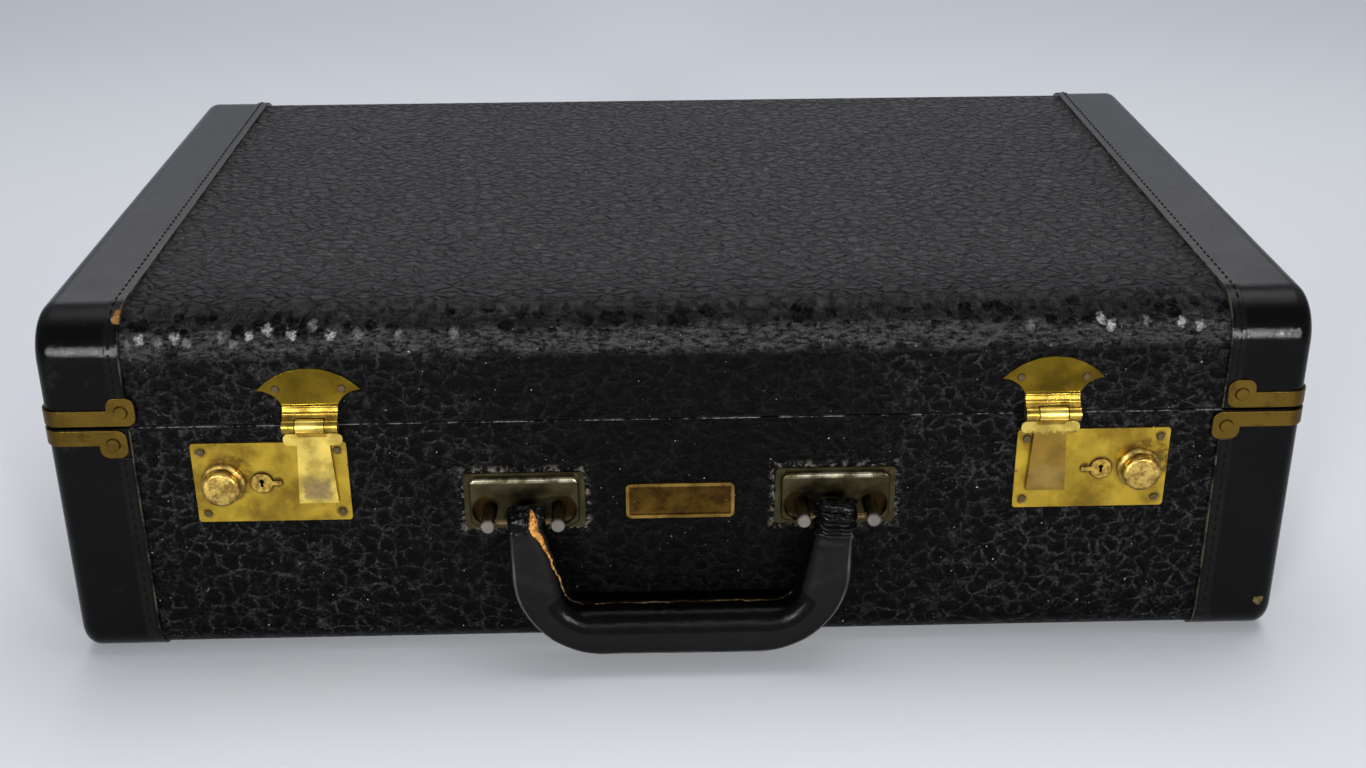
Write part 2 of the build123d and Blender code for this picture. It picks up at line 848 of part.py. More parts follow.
with BuildPart() as handle_core:
    with BuildSketch(front.offset(handle_axis_out)):
        with BuildLine() as strap_path:
            FilletPolyline(
                (-strap_x, strap_top),
                (-strap_x, strap_low),
                (strap_x, strap_low),
                (strap_x, strap_top),
                radius=strap_corner,
            )
        trace(strap_path.line, line_width=strap_thickness)
    extrude(amount=strap_width / 2, both=True)
    with BuildSketch(front_section(0)):
        with Locations((handle_axis_out, handle_axis_height)):
            Circle(handle_pin_radius + running_clearance)
    extrude(amount=case_width / 2, both=True, mode=Mode.SUBTRACT)
save(handle_core, "handle_core")

with BuildPart() as handle_grip:
    leg_top = handle_axis_height + leg_end_radius
    outer_x = handle_width / 2
    with BuildSketch(front.offset(handle_axis_out)):
        with BuildLine():
            outer_line = FilletPolyline(
                (-outer_x, leg_top),
                (-outer_x, handle_bottom),
                (outer_x, handle_bottom),
                (outer_x, leg_top),
                radius=handle_outer_corner,
            )
            inner_line = FilletPolyline(
                (outer_x - leg_top_width, leg_top),
                (outer_x - leg_low_width, handle_bottom + grip_height),
                (leg_low_width - outer_x, handle_bottom + grip_height),
                (leg_top_width - outer_x, leg_top),
                radius=inner_corner,
            )
            Line(outer_line @ 1, inner_line @ 0)
            Line(inner_line @ 1, outer_line @ 0)
        make_face()
    extrude(amount=grip_depth / 2, both=True)
    long_edges = handle_grip.edges().filter_by(Axis.Y, reverse=True).filter_by_position(
        Axis.Z, 0, leg_top - grip_outer_edge
    )
    inner_edges = long_edges.filter_by(
        lambda edge: edge.center().Z > handle_bottom + grip_height - inner_corner / 2
        and abs(edge.center().X) < outer_x - leg_top_width / 2
    )
    outer_edges = long_edges.filter_by(lambda edge: edge not in inner_edges)
    fillet(inner_edges, grip_inner_edge)
    fillet(outer_edges, grip_outer_edge)
    with BuildSketch(front_section(0)):
        with BuildLine():
            Polyline(
                (handle_axis_out - leg_end_radius, handle_axis_height),
                (handle_axis_out - grip_depth / 2, handle_axis_height - leg_taper_low),
                (handle_axis_out - grip_depth / 2, 0),
                (handle_axis_out + grip_depth / 2, 0),
                (handle_axis_out + grip_depth / 2, handle_axis_height - leg_taper_low),
                (handle_axis_out + leg_end_radius, handle_axis_height),
                close=True,
            )
        make_face()
        with Locations((handle_axis_out, handle_axis_height)):
            Circle(leg_end_radius)
    extrude(amount=case_width / 2, both=True, mode=Mode.INTERSECT)
    add(handle_core.part, mode=Mode.SUBTRACT)
    with BuildSketch(front_section(0)):
        with Locations((handle_axis_out, handle_axis_height)):
            Circle(handle_pin_radius + running_clearance)
    extrude(amount=case_width / 2, both=True, mode=Mode.SUBTRACT)
save(handle_grip, "handle_grip")

# Name plate, left bare, with a raised rim and a nail at each end
name_nails = [
    (x_sign * (name_plate_width / 2 - name_nail_inset), name_plate_middle) for x_sign in (-1, 1)
]
with BuildPart() as name_plate:
    with BuildSketch(front):
        with Locations((0, name_plate_middle)):
            RectangleRounded(name_plate_width, name_plate_height, name_plate_corner)
        with Locations(*name_nails):
            Circle(name_nail_shank, mode=Mode.SUBTRACT)
    extrude(amount=name_plate_thickness)
    with BuildSketch(front.offset(name_plate_thickness)):
        with Locations((0, name_plate_middle)):
            RectangleRounded(
                name_plate_width - 2 * name_plate_rim,
                name_plate_height - 2 * name_plate_rim,
                inside_radius(name_plate_corner, name_plate_rim),
            )
    extrude(amount=-name_plate_sunk, mode=Mode.SUBTRACT)
save(name_plate, "name_plate")

name_plate_nails = heads(
    front.offset(name_plate_thickness - name_plate_sunk),
    name_nails,
    name_nail_radius,
    nail_head_height,
    name_nail_shank,
    name_plate_thickness - name_plate_sunk,
)
save(name_plate_nails, "name_plate_nails")

# Butt hinges outside the back: each leaf is riveted on, with its knuckles round the pin
knuckle_pitch = hinge_width / hinge_knuckles


def hinge_rivet_places(x, z_side):
    """Places of a leaf's rivets on the back, on the side of the seam that z_side gives."""
    height = seam_height + z_side * hinge_rivet_drop
    return [(-x + x_sign * hinge_rivet_spread, height) for x_sign in (-1, 0, 1)]


def hinge_leaf(x, z_side, first_knuckle):
    """A leaf below (-1) or above (1) the seam, with every second knuckle from the first one."""
    near = seam_height + z_side * hinge_leaf_from_axis
    far = near + z_side * hinge_leaf_height
    with BuildPart() as leaf:
        with BuildSketch(back):
            with Locations((-x, (near + far) / 2)):
                RectangleRounded(hinge_width, hinge_leaf_height, hinge_leaf_corner)
            with Locations(*hinge_rivet_places(x, z_side)):
                Circle(nail_shank_radius, mode=Mode.SUBTRACT)
        extrude(amount=hinge_leaf_thickness)
        for number in range(first_knuckle, hinge_knuckles, 2):
            knuckle_x = x + (number - (hinge_knuckles - 1) / 2) * knuckle_pitch
            with BuildSketch(back_section(knuckle_x)):
                with BuildLine():
                    Polyline(
                        (0, near + z_side * hinge_leaf_corner),
                        (hinge_leaf_thickness, near + z_side * hinge_leaf_corner),
                        (hinge_leaf_thickness, near),
                        (hinge_axis_out, seam_height + z_side * hinge_barrel_radius),
                        (hinge_axis_out, seam_height),
                        (hinge_axis_out - hinge_barrel_radius, seam_height),
                        (0, seam_height + z_side * hinge_barrel_radius),
                        close=True,
                    )
                make_face()
                with Locations((hinge_axis_out, seam_height)):
                    Circle(hinge_barrel_radius)
                with Locations((hinge_axis_out, seam_height)):
                    Circle(hinge_pin_radius + running_clearance, mode=Mode.SUBTRACT)
            extrude(amount=(knuckle_pitch - hinge_knuckle_gap) / 2, both=True)
    return leaf


for name, side in sides.items():
    hinge_x = side * hinge_spacing / 2
    save(hinge_leaf(hinge_x, -1, 0), f"hinge_base_leaf_{name}")
    save(hinge_leaf(hinge_x, 1, 1), f"hinge_lid_leaf_{name}")

    with BuildPart() as hinge_pin:
        with BuildSketch(back_section(hinge_x)):
            with Locations((hinge_axis_out, seam_height)):
                Circle(hinge_pin_radius)
        extrude(amount=hinge_width / 2, both=True)
    save(hinge_pin, f"hinge_pin_{name}")

for half, z_side in (("base", -1), ("lid", 1)):
    hinge_rivets = heads(
        back.offset(hinge_leaf_thickness),
        [
            place
            for side in sides.values()
            for place in hinge_rivet_places(side * hinge_spacing / 2, z_side)
        ],
        nail_head_radius,
        nail_head_height,
        nail_shank_radius,
        hinge_leaf_thickness,
    )
    save(hinge_rivets, f"hinge_{half}_rivets")

# Studs that the case stands on when it is on its hinge side
for half, stud_z in (("base", stud_from_end), ("lid", case_height - stud_from_end)):
    with BuildPart() as studs:
        with BuildSketch(back):
            with Locations((-stud_spacing / 2, stud_z), (stud_spacing / 2, stud_z)):
                Circle(stud_radius)
        extrude(amount=stud_height)
        fillet(studs.faces().group_by(Axis.Y)[-1].edges(), stud_edge)
    save(studs, f"{half}_studs")
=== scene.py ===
"""Leather suitcase: the looks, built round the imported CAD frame.

Metres. The case lies flat with its locks towards -Y. Each section below is one piece or one group
of like pieces, in the order in which the case is put together.
"""

import json
import math
import random

import bmesh
import bpy
from mathutils import Matrix, Vector, noise

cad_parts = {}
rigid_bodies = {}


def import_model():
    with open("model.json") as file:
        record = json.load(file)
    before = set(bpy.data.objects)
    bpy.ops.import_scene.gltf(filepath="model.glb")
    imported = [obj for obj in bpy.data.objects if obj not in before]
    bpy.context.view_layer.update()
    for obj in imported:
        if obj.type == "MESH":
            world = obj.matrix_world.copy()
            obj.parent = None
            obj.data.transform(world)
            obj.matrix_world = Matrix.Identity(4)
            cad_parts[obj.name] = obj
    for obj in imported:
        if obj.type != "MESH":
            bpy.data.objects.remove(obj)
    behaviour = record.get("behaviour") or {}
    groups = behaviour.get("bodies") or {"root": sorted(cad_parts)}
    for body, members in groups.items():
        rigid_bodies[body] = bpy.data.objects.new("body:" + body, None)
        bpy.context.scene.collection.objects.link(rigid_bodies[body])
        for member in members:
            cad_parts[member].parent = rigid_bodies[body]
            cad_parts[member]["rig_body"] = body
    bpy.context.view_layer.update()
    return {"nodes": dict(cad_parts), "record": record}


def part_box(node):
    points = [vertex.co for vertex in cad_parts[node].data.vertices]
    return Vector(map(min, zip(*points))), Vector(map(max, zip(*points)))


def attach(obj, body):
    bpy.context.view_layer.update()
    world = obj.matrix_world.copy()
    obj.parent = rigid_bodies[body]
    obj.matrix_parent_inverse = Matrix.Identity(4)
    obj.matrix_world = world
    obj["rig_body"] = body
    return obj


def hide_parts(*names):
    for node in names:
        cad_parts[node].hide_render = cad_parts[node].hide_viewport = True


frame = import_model()
nodes = frame["nodes"]
scene = bpy.context.scene


# Board shells of the base and the lid.
# Grey millboard, glued up and bent at the corners. It shows as a cut edge at the seam and in the groove
# that each hasp's catch leaves by; it is painted dark next to the leather and in the groove, as shade.
class Finish:
    """One material, built up node by node round its Principled shader."""

    def __init__(self, name, roughness=0.5, metallic=0.0, specular=0.5):
        self.material = bpy.data.materials.new(name)
        self.material.use_nodes = True
        self.tree = self.material.node_tree
        self.shader = self.tree.nodes["Principled BSDF"]
        self.shader.inputs["Roughness"].default_value = roughness
        self.shader.inputs["Metallic"].default_value = metallic
        self.shader.inputs["Specular IOR Level"].default_value = specular
        self.place = self.add("TexCoord").outputs["Object"]
        axes = self.add("SeparateXYZ", {"Vector": self.place})
        self.x, self.y, self.z = axes.outputs

    def add(self, kind, inputs=None, **settings):
        """New node of a kind, with its inputs linked or set."""
        node = self.tree.nodes.new("ShaderNode" + kind)
        for name, value in settings.items():
            setattr(node, name, value)
        for name, value in (inputs or {}).items():
            if isinstance(value, bpy.types.NodeSocket):
                self.tree.links.new(value, node.inputs[name])
            else:
                node.inputs[name].default_value = value
        return node

    def stretched(self, scale):
        return self.add("Mapping", {"Vector": self.place, "Scale": scale}).outputs["Vector"]

    def noise(self, scale, detail=4, rough=0.55, place=None):
        where = place or self.place
        inputs = {"Vector": where, "Scale": scale, "Detail": detail, "Roughness": rough}
        return self.add("TexNoise", inputs).outputs["Fac"]

    def cells(self, scale, feature="DISTANCE_TO_EDGE", place=None):
        inputs = {"Vector": place or self.place, "Scale": scale}
        return self.add("TexVoronoi", inputs, feature=feature).outputs["Distance"]

    def warped(self, amount, scale, place=None):
        """Place shifted about by noise, so that a pattern on it turns irregular."""
        where = place or self.place
        drift = self.add("TexNoise", {"Vector": where, "Scale": scale, "Detail": 3.0}).outputs["Color"]
        centred = self.add("VectorMath", {0: drift, 1: (0.5, 0.5, 0.5)}, operation="SUBTRACT")
        shift = self.add("VectorMath", {0: centred.outputs[0], "Scale": amount}, operation="SCALE")
        return self.add("VectorMath", {0: where, 1: shift.outputs[0]}, operation="ADD").outputs[0]

    def rise(self, value, low, high, to_low=0.0, to_high=1.0):
        """Smooth step from to_low to to_high as value goes from low to high."""
        inputs = {
            "Value": value,
            "From Min": low,
            "From Max": high,
            "To Min": to_low,
            "To Max": to_high,
        }
        return self.add("MapRange", inputs, interpolation_type="SMOOTHSTEP").outputs["Result"]

    def math(self, operation, first, second=0.0):
        return self.add("Math", {0: first, 1: second}, operation=operation).outputs["Value"]

    def times(self, *values):
        """Product of the values."""
        product = values[0]
        for value in values[1:]:
            product = self.math("MULTIPLY", product, value)
        return product

    def band(self, value, low, low_full, high_full, high):
        """One between the two full places, and nought below low and above high."""
        return self.times(self.rise(value, low, low_full), self.rise(value, high, high_full))

    def either(self, *values):
        """Greatest of the values."""
        most = values[0]
        for value in values[1:]:
            most = self.math("MAXIMUM", most, value)
        return most

    def near(self, value, middle, reach, soft):
        """One where value is within reach of middle, and nought beyond reach + soft."""
        gap = self.math("ABSOLUTE", self.math("SUBTRACT", value, middle))
        return self.rise(gap, reach, reach + soft, 1.0, 0.0)

    def mottled(self, scale, low, high, detail=5):
        """Drifts between low and high in soft patches, as gloss does on a used surface."""
        return self.rise(self.noise(scale, detail), 0.3, 0.7, low, high)

    def blend(self, amount, first, second):
        """Colour that goes from the first to the second as amount goes from nought to one."""
        node = self.add("Mix", data_type="RGBA")
        for index, value in ((0, amount), (6, first), (7, second)):
            if isinstance(value, bpy.types.NodeSocket):
                self.tree.links.new(value, node.inputs[index])
            else:
                node.inputs[index].default_value = value if index == 0 else (*value, 1.0)
        return node.outputs[2]

    def bump(self, height, depth, strength=1.0, under=None):
        inputs = {"Height": height, "Distance": depth, "Strength": strength}
        if under:
            inputs["Normal"] = under
        return self.add("Bump", inputs).outputs["Normal"]

    def set(self, name, value):
        """Link a value to an input of the shader, or set it there."""
        if isinstance(value, bpy.types.NodeSocket):
            self.tree.links.new(value, self.shader.inputs[name])
        else:
            self.shader.inputs[name].default_value = value

    def dress(self, *names):
        """Give CAD nodes, by name, or pieces this material."""
        for name in names:
            piece = nodes[name] if isinstance(name, str) else name
            piece.data.materials.clear()
            piece.data.materials.append(self.material)


slots = {part["node"]: part["material_slot"] for part in frame["record"]["subparts"]}


def smooth_mesh(work, name):
    """Mesh with this name from a finished bmesh, shaded smooth."""
    mesh = bpy.data.meshes.new(name)
    work.to_mesh(mesh)
    work.free()
    for polygon in mesh.polygons:
        polygon.use_smooth = True
    return mesh


def shown(piece, body, slot_name, *stands_for):
    """Link a new piece, ride it on its body and hide the CAD nodes that it stands for."""
    scene.collection.objects.link(piece)
    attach(piece, body)
    if stands_for:
        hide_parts(*stands_for)


def eased(finish, edge, *names):
    """Copies of CAD nodes with their sharp edges eased, as pressing, folding and wear leave them."""
    flat_turn, sharp_turn = math.radians(1), math.radians(34)
    for name in names:
        work = bmesh.new()
        work.from_mesh(nodes[name].data)
        bmesh.ops.remove_doubles(work, verts=work.verts[:], dist=0.00001)
        bmesh.ops.dissolve_limit(work, angle_limit=flat_turn, verts=work.verts[:], edges=work.edges[:])
        mesh = smooth_mesh(work, name + "_eased")
        mesh.set_sharp_from_angle(angle=sharp_turn)
        piece = bpy.data.objects.new(name + "_eased", mesh)
        rounding = piece.modifiers.new("rounding", "BEVEL")
        rounding.width = edge
        rounding.segments = 3
        rounding.limit_method = "ANGLE"
        rounding.angle_limit = sharp_turn
        rounding.harden_normals = True
        finish.dress(piece)
        shown(piece, nodes[name]["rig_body"], slots[name], name)


board = Finish("board", roughness=0.85)
board_tone = board.blend(board.noise(90), (0.10, 0.085, 0.07), (0.19, 0.16, 0.13))
groove_reach = 0.003
groove_inside = -0.1500
groove_top = 0.1095
for catch in ("hasp_catch_left", "hasp_catch_right"):
    catch_low, catch_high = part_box(catch)
    # Painted shade in the groove that the catch leaves by.
    groove_shade = board.times(
        board.near(board.x, (catch_low.x + catch_high.x) / 2, groove_reach, 0.0005),
        board.rise(board.y, groove_inside, groove_inside - 0.0010),
        board.rise(board.z, groove_top, groove_top - 0.0005),
    )
    board_tone = board.blend(groove_shade, board_tone, (0.012, 0.010, 0.008))
board_front = -0.1562
board_back = 0.1722
board_side = 0.2562
seam_shade_deep = 0.0004
board_aside = board.math("ABSOLUTE", board.x)
# Painted shade on the board's cut edge, where it meets the leather in the seam.
seam_edge_shade = board.either(
    board.rise(board.y, board_front, board_front - seam_shade_deep),
    board.rise(board.y, board_back, board_back + seam_shade_deep),
    board.rise(board_aside, board_side, board_side + seam_shade_deep),
)
board.set("Base Color", board.blend(seam_edge_shade, board_tone, (0.010, 0.009, 0.008)))
board.set("Normal", board.bump(board.noise(700), 0.0004, 0.6))
board.dress("base_shell", "lid_shell", "base_lip")

# Linings of the base and the lid.
# Thin watered cloth over paper, glued in. It has a fine weave and a few stains.
lining = Finish("lining", roughness=0.7)
lining_stain = lining.rise(lining.noise(9, 6), 0.52, 0.72)
lining_weave = lining.noise(900, 2, 0.5, lining.stretched((1.0, 0.15, 1.0)))
lining_tone = lining.blend(lining_weave, (0.17, 0.10, 0.055), (0.26, 0.165, 0.095))
lining.set("Base Color", lining.blend(lining_stain, lining_tone, (0.12, 0.075, 0.045)))
lining.set("Normal", lining.bump(lining_weave, 0.0003, 0.5))
lining.dress("base_lining", "lid_lining")

# Grained leather over the lid and the base.
# One hide, wrapped from front to back between the end caps and embossed with a pebbled grain.
# The top is painted a paler grey, for its sheen as well as fading, and the front has a network of pale
# creases. The bend at the top is rubbed shiny, and glints and shade are painted on its grain.


def round_spots(finish, spots, reach, soft, at=None):
    """One within reach of each spot on the front, given as x and z, and nought beyond reach + soft."""
    across, up = at or (finish.x, finish.z)
    discs = []
    for x, z in spots:
        aside = finish.math("SUBTRACT", across, x)
        above = finish.math("SUBTRACT", up, z)
        square = finish.math("ADD", finish.times(aside, aside), finish.times(above, above))
        discs.append(finish.rise(finish.math("SQRT", square), reach, reach + soft, 1.0, 0.0))
    return finish.either(*discs)


grained = Finish("grained_leather", specular=0.045)
grain_place = grained.warped(0.0075, 120, grained.stretched((0.82, 1.0, 0.95)))
grain_edge = grained.cells(172, place=grain_place)
grain_dome = grained.rise(grain_edge, 0.0, 0.30)
on_top = grained.rise(grained.z, 0.1480, 0.1575)
on_bend = grained.band(grained.z, 0.1365, 0.1425, 0.1520, 0.1560)
# Painted shade in the creases between the pebbles of the top.
top_crease_shade = grained.times(
    grained.rise(grain_edge, 0.01, 0.11, 1.0, 0.0), grained.rise(grained.noise(190, 3), 0.32, 0.54)
)
pebble_shade = grained.noise(240, 3)
# Paler grey of the top: painted sheen as well as fading.
top_tone = grained.blend(pebble_shade, (0.017, 0.0156, 0.0163), (0.038, 0.0348, 0.0362))
# Painted highlight on the rims of the pebbles, kept off the front edge.
pebble_rim_highlight = grained.times(
    grained.band(grain_edge, 0.04, 0.10, 0.13, 0.24),
    grained.rise(grained.noise(230, 4, 0.7), 0.40, 0.58),
    grained.rise(grained.y, -0.142, -0.125),
)
top_tone = grained.blend(grained.times(pebble_rim_highlight, 0.85), top_tone, (0.085, 0.079, 0.081))
top_tone = grained.blend(top_crease_shade, top_tone, (0.008, 0.0075, 0.008))
# Painted shade on the top near its front edge, where it starts to turn into the bend.
front_edge_shade = grained.times(
    grained.rise(grained.y, -0.100, -0.138), grained.rise(grained.noise(170, 4, 0.6), 0.34, 0.56)
)
top_tone = grained.blend(grained.times(front_edge_shade, 0.65), top_tone, (0.005, 0.005, 0.005))
fuzzy_crease = grained.rise(grain_edge, 0.01, 0.15, 1.0, 0.0)
crumbs = grained.rise(grained.noise(820, 6, 0.85), 0.42, 0.60)
broken = grained.rise(grained.noise(210, 5, 0.75), 0.40, 0.60)
patches = grained.rise(grained.noise(26, 4), 0.36, 0.6, 0.5, 1.0)
grain_aside = grained.math("ABSOLUTE", grained.x)
more_outside = grained.rise(grain_aside, 0.03, 0.15, 0.25, 1.30)
front_pale = grained.times(fuzzy_crease, crumbs, broken, patches, more_outside)
front_tone = grained.blend(front_pale, (0.0005, 0.0005, 0.0006), (0.027, 0.026, 0.027))
scratch_edge = grained.cells(330, place=grained.warped(0.004, 300))
scratches = grained.times(
    grained.rise(scratch_edge, 0.01, 0.060, 1.0, 0.0),
    grained.rise(grained.noise(120, 5, 0.7), 0.49, 0.64),
    more_outside,
    0.48,
)
front_tone = grained.blend(scratches, front_tone, (0.024, 0.023, 0.024))
front_dust = grained.rise(grained.noise(430, 6, 0.8), 0.56, 0.70)
front_dust = grained.times(front_dust, more_outside, 0.27)
front_tone = grained.blend(front_dust, front_tone, (0.020, 0.019, 0.019))
specks = grained.rise(grained.noise(620, 2, 0.5), 0.735, 0.76)
front_tone = grained.blend(specks, front_tone, (0.22, 0.21, 0.20))
# Painted glints: pale streaks in a wavy band along the bend, standing for its highlight.
wavy = grained.times(grained.math("SUBTRACT", grained.noise(75, 4), 0.5), 0.010)
wavy_z = grained.math("ADD", grained.z, wavy)
glint_zone = grained.band(wavy_z, 0.1375, 0.1420, 0.1480, 0.1515)
glint_streak = grained.noise(640, 6, 0.85, grained.stretched((0.4, 1.0, 1.0)))
glint = grained.times(glint_zone, grained.rise(glint_streak, 0.42, 0.62), 0.95)
front_tone = grained.blend(glint, front_tone, (0.040, 0.0375, 0.039))
# Painted highlights on knuckles of the grain along the bend, listed as x and z; noise breaks them up.
glint_axes = grained.add("SeparateXYZ", {"Vector": grained.warped(0.0048, 480)}).outputs
glint_at = (glint_axes["X"], glint_axes["Z"])
bright_glint_spots = (
    (-0.2167, 0.1474),
    (-0.2026, 0.1476),
    (-0.1728, 0.1481),
    (-0.1655, 0.1499),
    (-0.1556, 0.1479),
    (-0.1399, 0.1478),
    (0.1717, 0.1494),
    (0.1758, 0.1470),
    (0.2045, 0.1477),
    (0.2122, 0.1465),
)
dim_glint_spots = (
    (-0.2210, 0.1455),
    (-0.2095, 0.1462),
    (-0.1976, 0.1455),
    (-0.1838, 0.1475),
    (-0.1790, 0.1452),
    (-0.1476, 0.1512),
    (-0.1292, 0.1480),
    (-0.1130, 0.1475),
    (-0.0903, 0.1482),
    (0.1430, 0.1475),
    (0.1900, 0.1482),
)
glint_breakup = grained.rise(grained.noise(980, 6, 0.9), 0.42, 0.60, 0.15, 1.0)
glint_reach = 0.0008
bright_knuckle_glint = round_spots(grained, bright_glint_spots, glint_reach, 0.0017, glint_at)
dim_knuckle_glint = round_spots(grained, dim_glint_spots, glint_reach, 0.0019, glint_at)
knuckle_glint = grained.either(bright_knuckle_glint, grained.times(dim_knuckle_glint, 0.35))
knuckle_glint = grained.times(knuckle_glint, glint_breakup)
pit_gap = grained.cells(150, feature="F1", place=grained.warped(0.005, 170))
pit_zone = grained.either(
    grained.band(wavy_z, 0.1465, 0.1495, 0.1535, 0.1560),
    grained.band(wavy_z, 0.1355, 0.1375, 0.1405, 0.1430),
)
# Pits in the grain, dented by bump and painted near-black as shade.
shaded_pit = grained.times(pit_zone, grained.rise(pit_gap, 0.40, 0.46, 1.0, 0.0))
grain_tone = grained.blend(on_top, front_tone, top_tone)
grain_tone = grained.blend(shaded_pit, grain_tone, (0.0008, 0.0008, 0.0008))
grain_tone = grained.blend(knuckle_glint, grain_tone, (0.30, 0.29, 0.29))
# Pale broken line along the seam: a worn edge, with a painted highlight on it.
rubbed_rim_and_glint = grained.times(
    grained.band(grained.z, 0.10905, 0.1093, 0.1098, 0.1100),
    grained.rise(grained.noise(110, 5, 0.75), 0.46, 0.60),
)
grain_tone = grained.blend(grained.times(rubbed_rim_and_glint, 0.6), grain_tone, (0.20, 0.19, 0.19))
frayed_middle = (0.0652, 0.0730)
frayed_half = (0.0255, 0.0135)
frayed_soft = 0.0035
mount_wear = grained.times(
    grained.near(grain_aside, frayed_middle[0], frayed_half[0], frayed_soft),
    grained.near(grained.z, frayed_middle[1], frayed_half[1], frayed_soft),
    grained.rise(grained.noise(300, 6, 0.8), 0.50, 0.60),
    grained.rise(grained.y, 0.0, -0.001),
)
grain_tone = grained.blend(grained.times(mount_wear, 0.6), grain_tone, (0.13, 0.115, 0.095))
grained.set("Base Color", grain_tone)
grain_rough = grained.mottled(260, 0.24, 0.42, 4)
grain_rough = grained.math("ADD", grain_rough, grained.times(on_top, 0.04))
grained.set("Roughness", grained.math("SUBTRACT", grain_rough, grained.times(on_bend, 0.10)))
grain_normal = grained.bump(grain_dome, 0.0024, grained.rise(on_top, 0, 1, 0.08, 1.0))
grain_normal = grained.bump(grained.noise(900, 5, 0.7), 0.0005, 0.5, grain_normal)
grain_normal = grained.bump(shaded_pit, 0.0012, -0.8, grain_normal)
grain_normal = grained.bump(scratch_edge, 0.0012, grained.rise(on_bend, 0, 1, 0.1, 0.8), grain_normal)
grained.set("Normal", grain_normal)
grained.dress("lid_cover", "base_cover")

# End caps and the strips along their inner edges.
# Smooth black leather with a thin finish, folded over the ends and sewn. It has scuffs, a small tear
# at the front left and a gold-brown spot at the bottom right. Its tops are painted paler grey, for
# their sheen as well as fading.
smooth = Finish("smooth_leather", specular=0.09)
scuff = smooth.rise(smooth.noise(26, 7, 0.7), 0.58, 0.78)
cap_tone = smooth.blend(smooth.noise(12, 3), (0.0008, 0.0008, 0.0009), (0.0020, 0.0019, 0.0021))
# Paler tops of the caps: painted sheen as well as fading.
cap_top_sheen_and_fade = smooth.rise(smooth.z, 0.1515, 0.1579)
cap_tone = smooth.blend(cap_top_sheen_and_fade, cap_tone, (0.0120, 0.0112, 0.0120))
cap_tone = smooth.blend(smooth.times(scuff, 0.5), cap_tone, (0.045, 0.043, 0.042))
strip_outer = 0.2286
strip_inner = 0.2254
cap_aside = smooth.math("ABSOLUTE", smooth.x)
# A slightly paler band along the seam of each strip.
seam_paler_band = smooth.near(cap_aside, strip_outer, 0.0020, 0.0012)
seam_paler_band = smooth.times(seam_paler_band, smooth.rise(smooth.noise(60, 4), 0.3, 0.6, 0.35, 1.0))
cap_tone = smooth.blend(smooth.times(seam_paler_band, 0.15), cap_tone, (0.020, 0.018, 0.017))
inner_rim = smooth.rise(cap_aside, strip_inner, strip_inner - 0.0004)
inner_rim = smooth.times(inner_rim, smooth.rise(smooth.noise(110, 5, 0.7), 0.42, 0.62, 0.05, 1.0))
cap_tone = smooth.blend(smooth.times(inner_rim, 0.55), cap_tone, (0.10, 0.078, 0.056))
torn_cloud = smooth.rise(smooth.noise(520, 5, 0.8), 0.36, 0.56, 0.25, 1.0)
torn_spots = (
    ((-0.2249, -0.1502, 0.1562), 0.0018, (0.15, 0.065, 0.012)),
    ((-0.2254, -0.1530, 0.1547), 0.0021, (0.20, 0.105, 0.030)),
    ((0.2530, -0.1600, 0.0170), 0.0019, (0.085, 0.065, 0.020)),
)
for middle, reach, tone in torn_spots:
    away = smooth.add("VectorMath", {0: smooth.warped(0.0065, 330), 1: middle}, operation="DISTANCE")
    torn = smooth.rise(away.outputs["Value"], reach, reach + 0.0006, 1.0, 0.0)
    torn = smooth.times(torn, torn_cloud)
    cap_tone = smooth.blend(torn, cap_tone, tone)
smooth.set("Base Color", cap_tone)
cap_rough = smooth.rise(smooth.noise(40, 6, 0.6), 0.3, 0.75, 0.15, 0.25)
cap_bend = smooth.near(smooth.z, 0.1470, 0.0040, 0.0060)
smooth.set("Roughness", smooth.times(cap_rough, smooth.rise(cap_bend, 0.0, 1.0, 1.0, 0.75)))
cap_normal = smooth.bump(smooth.noise(45, 4), 0.0009, 0.35)
smooth.set("Normal", smooth.bump(smooth.cells(1400), 0.00012, 0.5, cap_normal))
smooth.dress("base_end_left", "base_end_right", "lid_end_left", "lid_end_right")
strip_names = ("lid_edge_left", "lid_edge_right", "base_edge_left", "base_edge_right")
eased(smooth, 0.0006, *strip_names)

# Thread along the strips of the end caps.
# Waxed black thread in a saddle stitch, through each strip into the cap and the board below it.
thread = Finish("thread", roughness=0.6, specular=0.06)
thread_tone = thread.blend(thread.noise(800), (0.0008, 0.0008, 0.0008), (0.003, 0.0026, 0.0022))
thread.set("Base Color", thread_tone)
stitch_pitch = 0.0050
stitch_half = Vector((0.00055, 0.0018, 0.00042))
stitch_from_edge = 0.0020
strip_low, strip_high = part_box("lid_edge_right")
base_bottom, base_top = (corner.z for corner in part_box("base_edge_right"))
strip_bend = 0.0207
random.seed(5)


def stitch(work, x, y, z, turn):
    """One stitch as a small spindle, lying along the seam in the plane across the case."""
    sway = random.uniform(-0.05, 0.05)
    turned = Matrix.Rotation(turn, 4, "X") @ Matrix.Rotation(sway, 4, "Z")
    place = Matrix.Translation((x, y, z)) @ turned @ Matrix.Diagonal((*stitch_half, 1.0))
    made = bmesh.ops.create_uvsphere(work, u_segments=6, v_segments=4, radius=1.0)
    bmesh.ops.transform(work, matrix=place, verts=made["verts"])


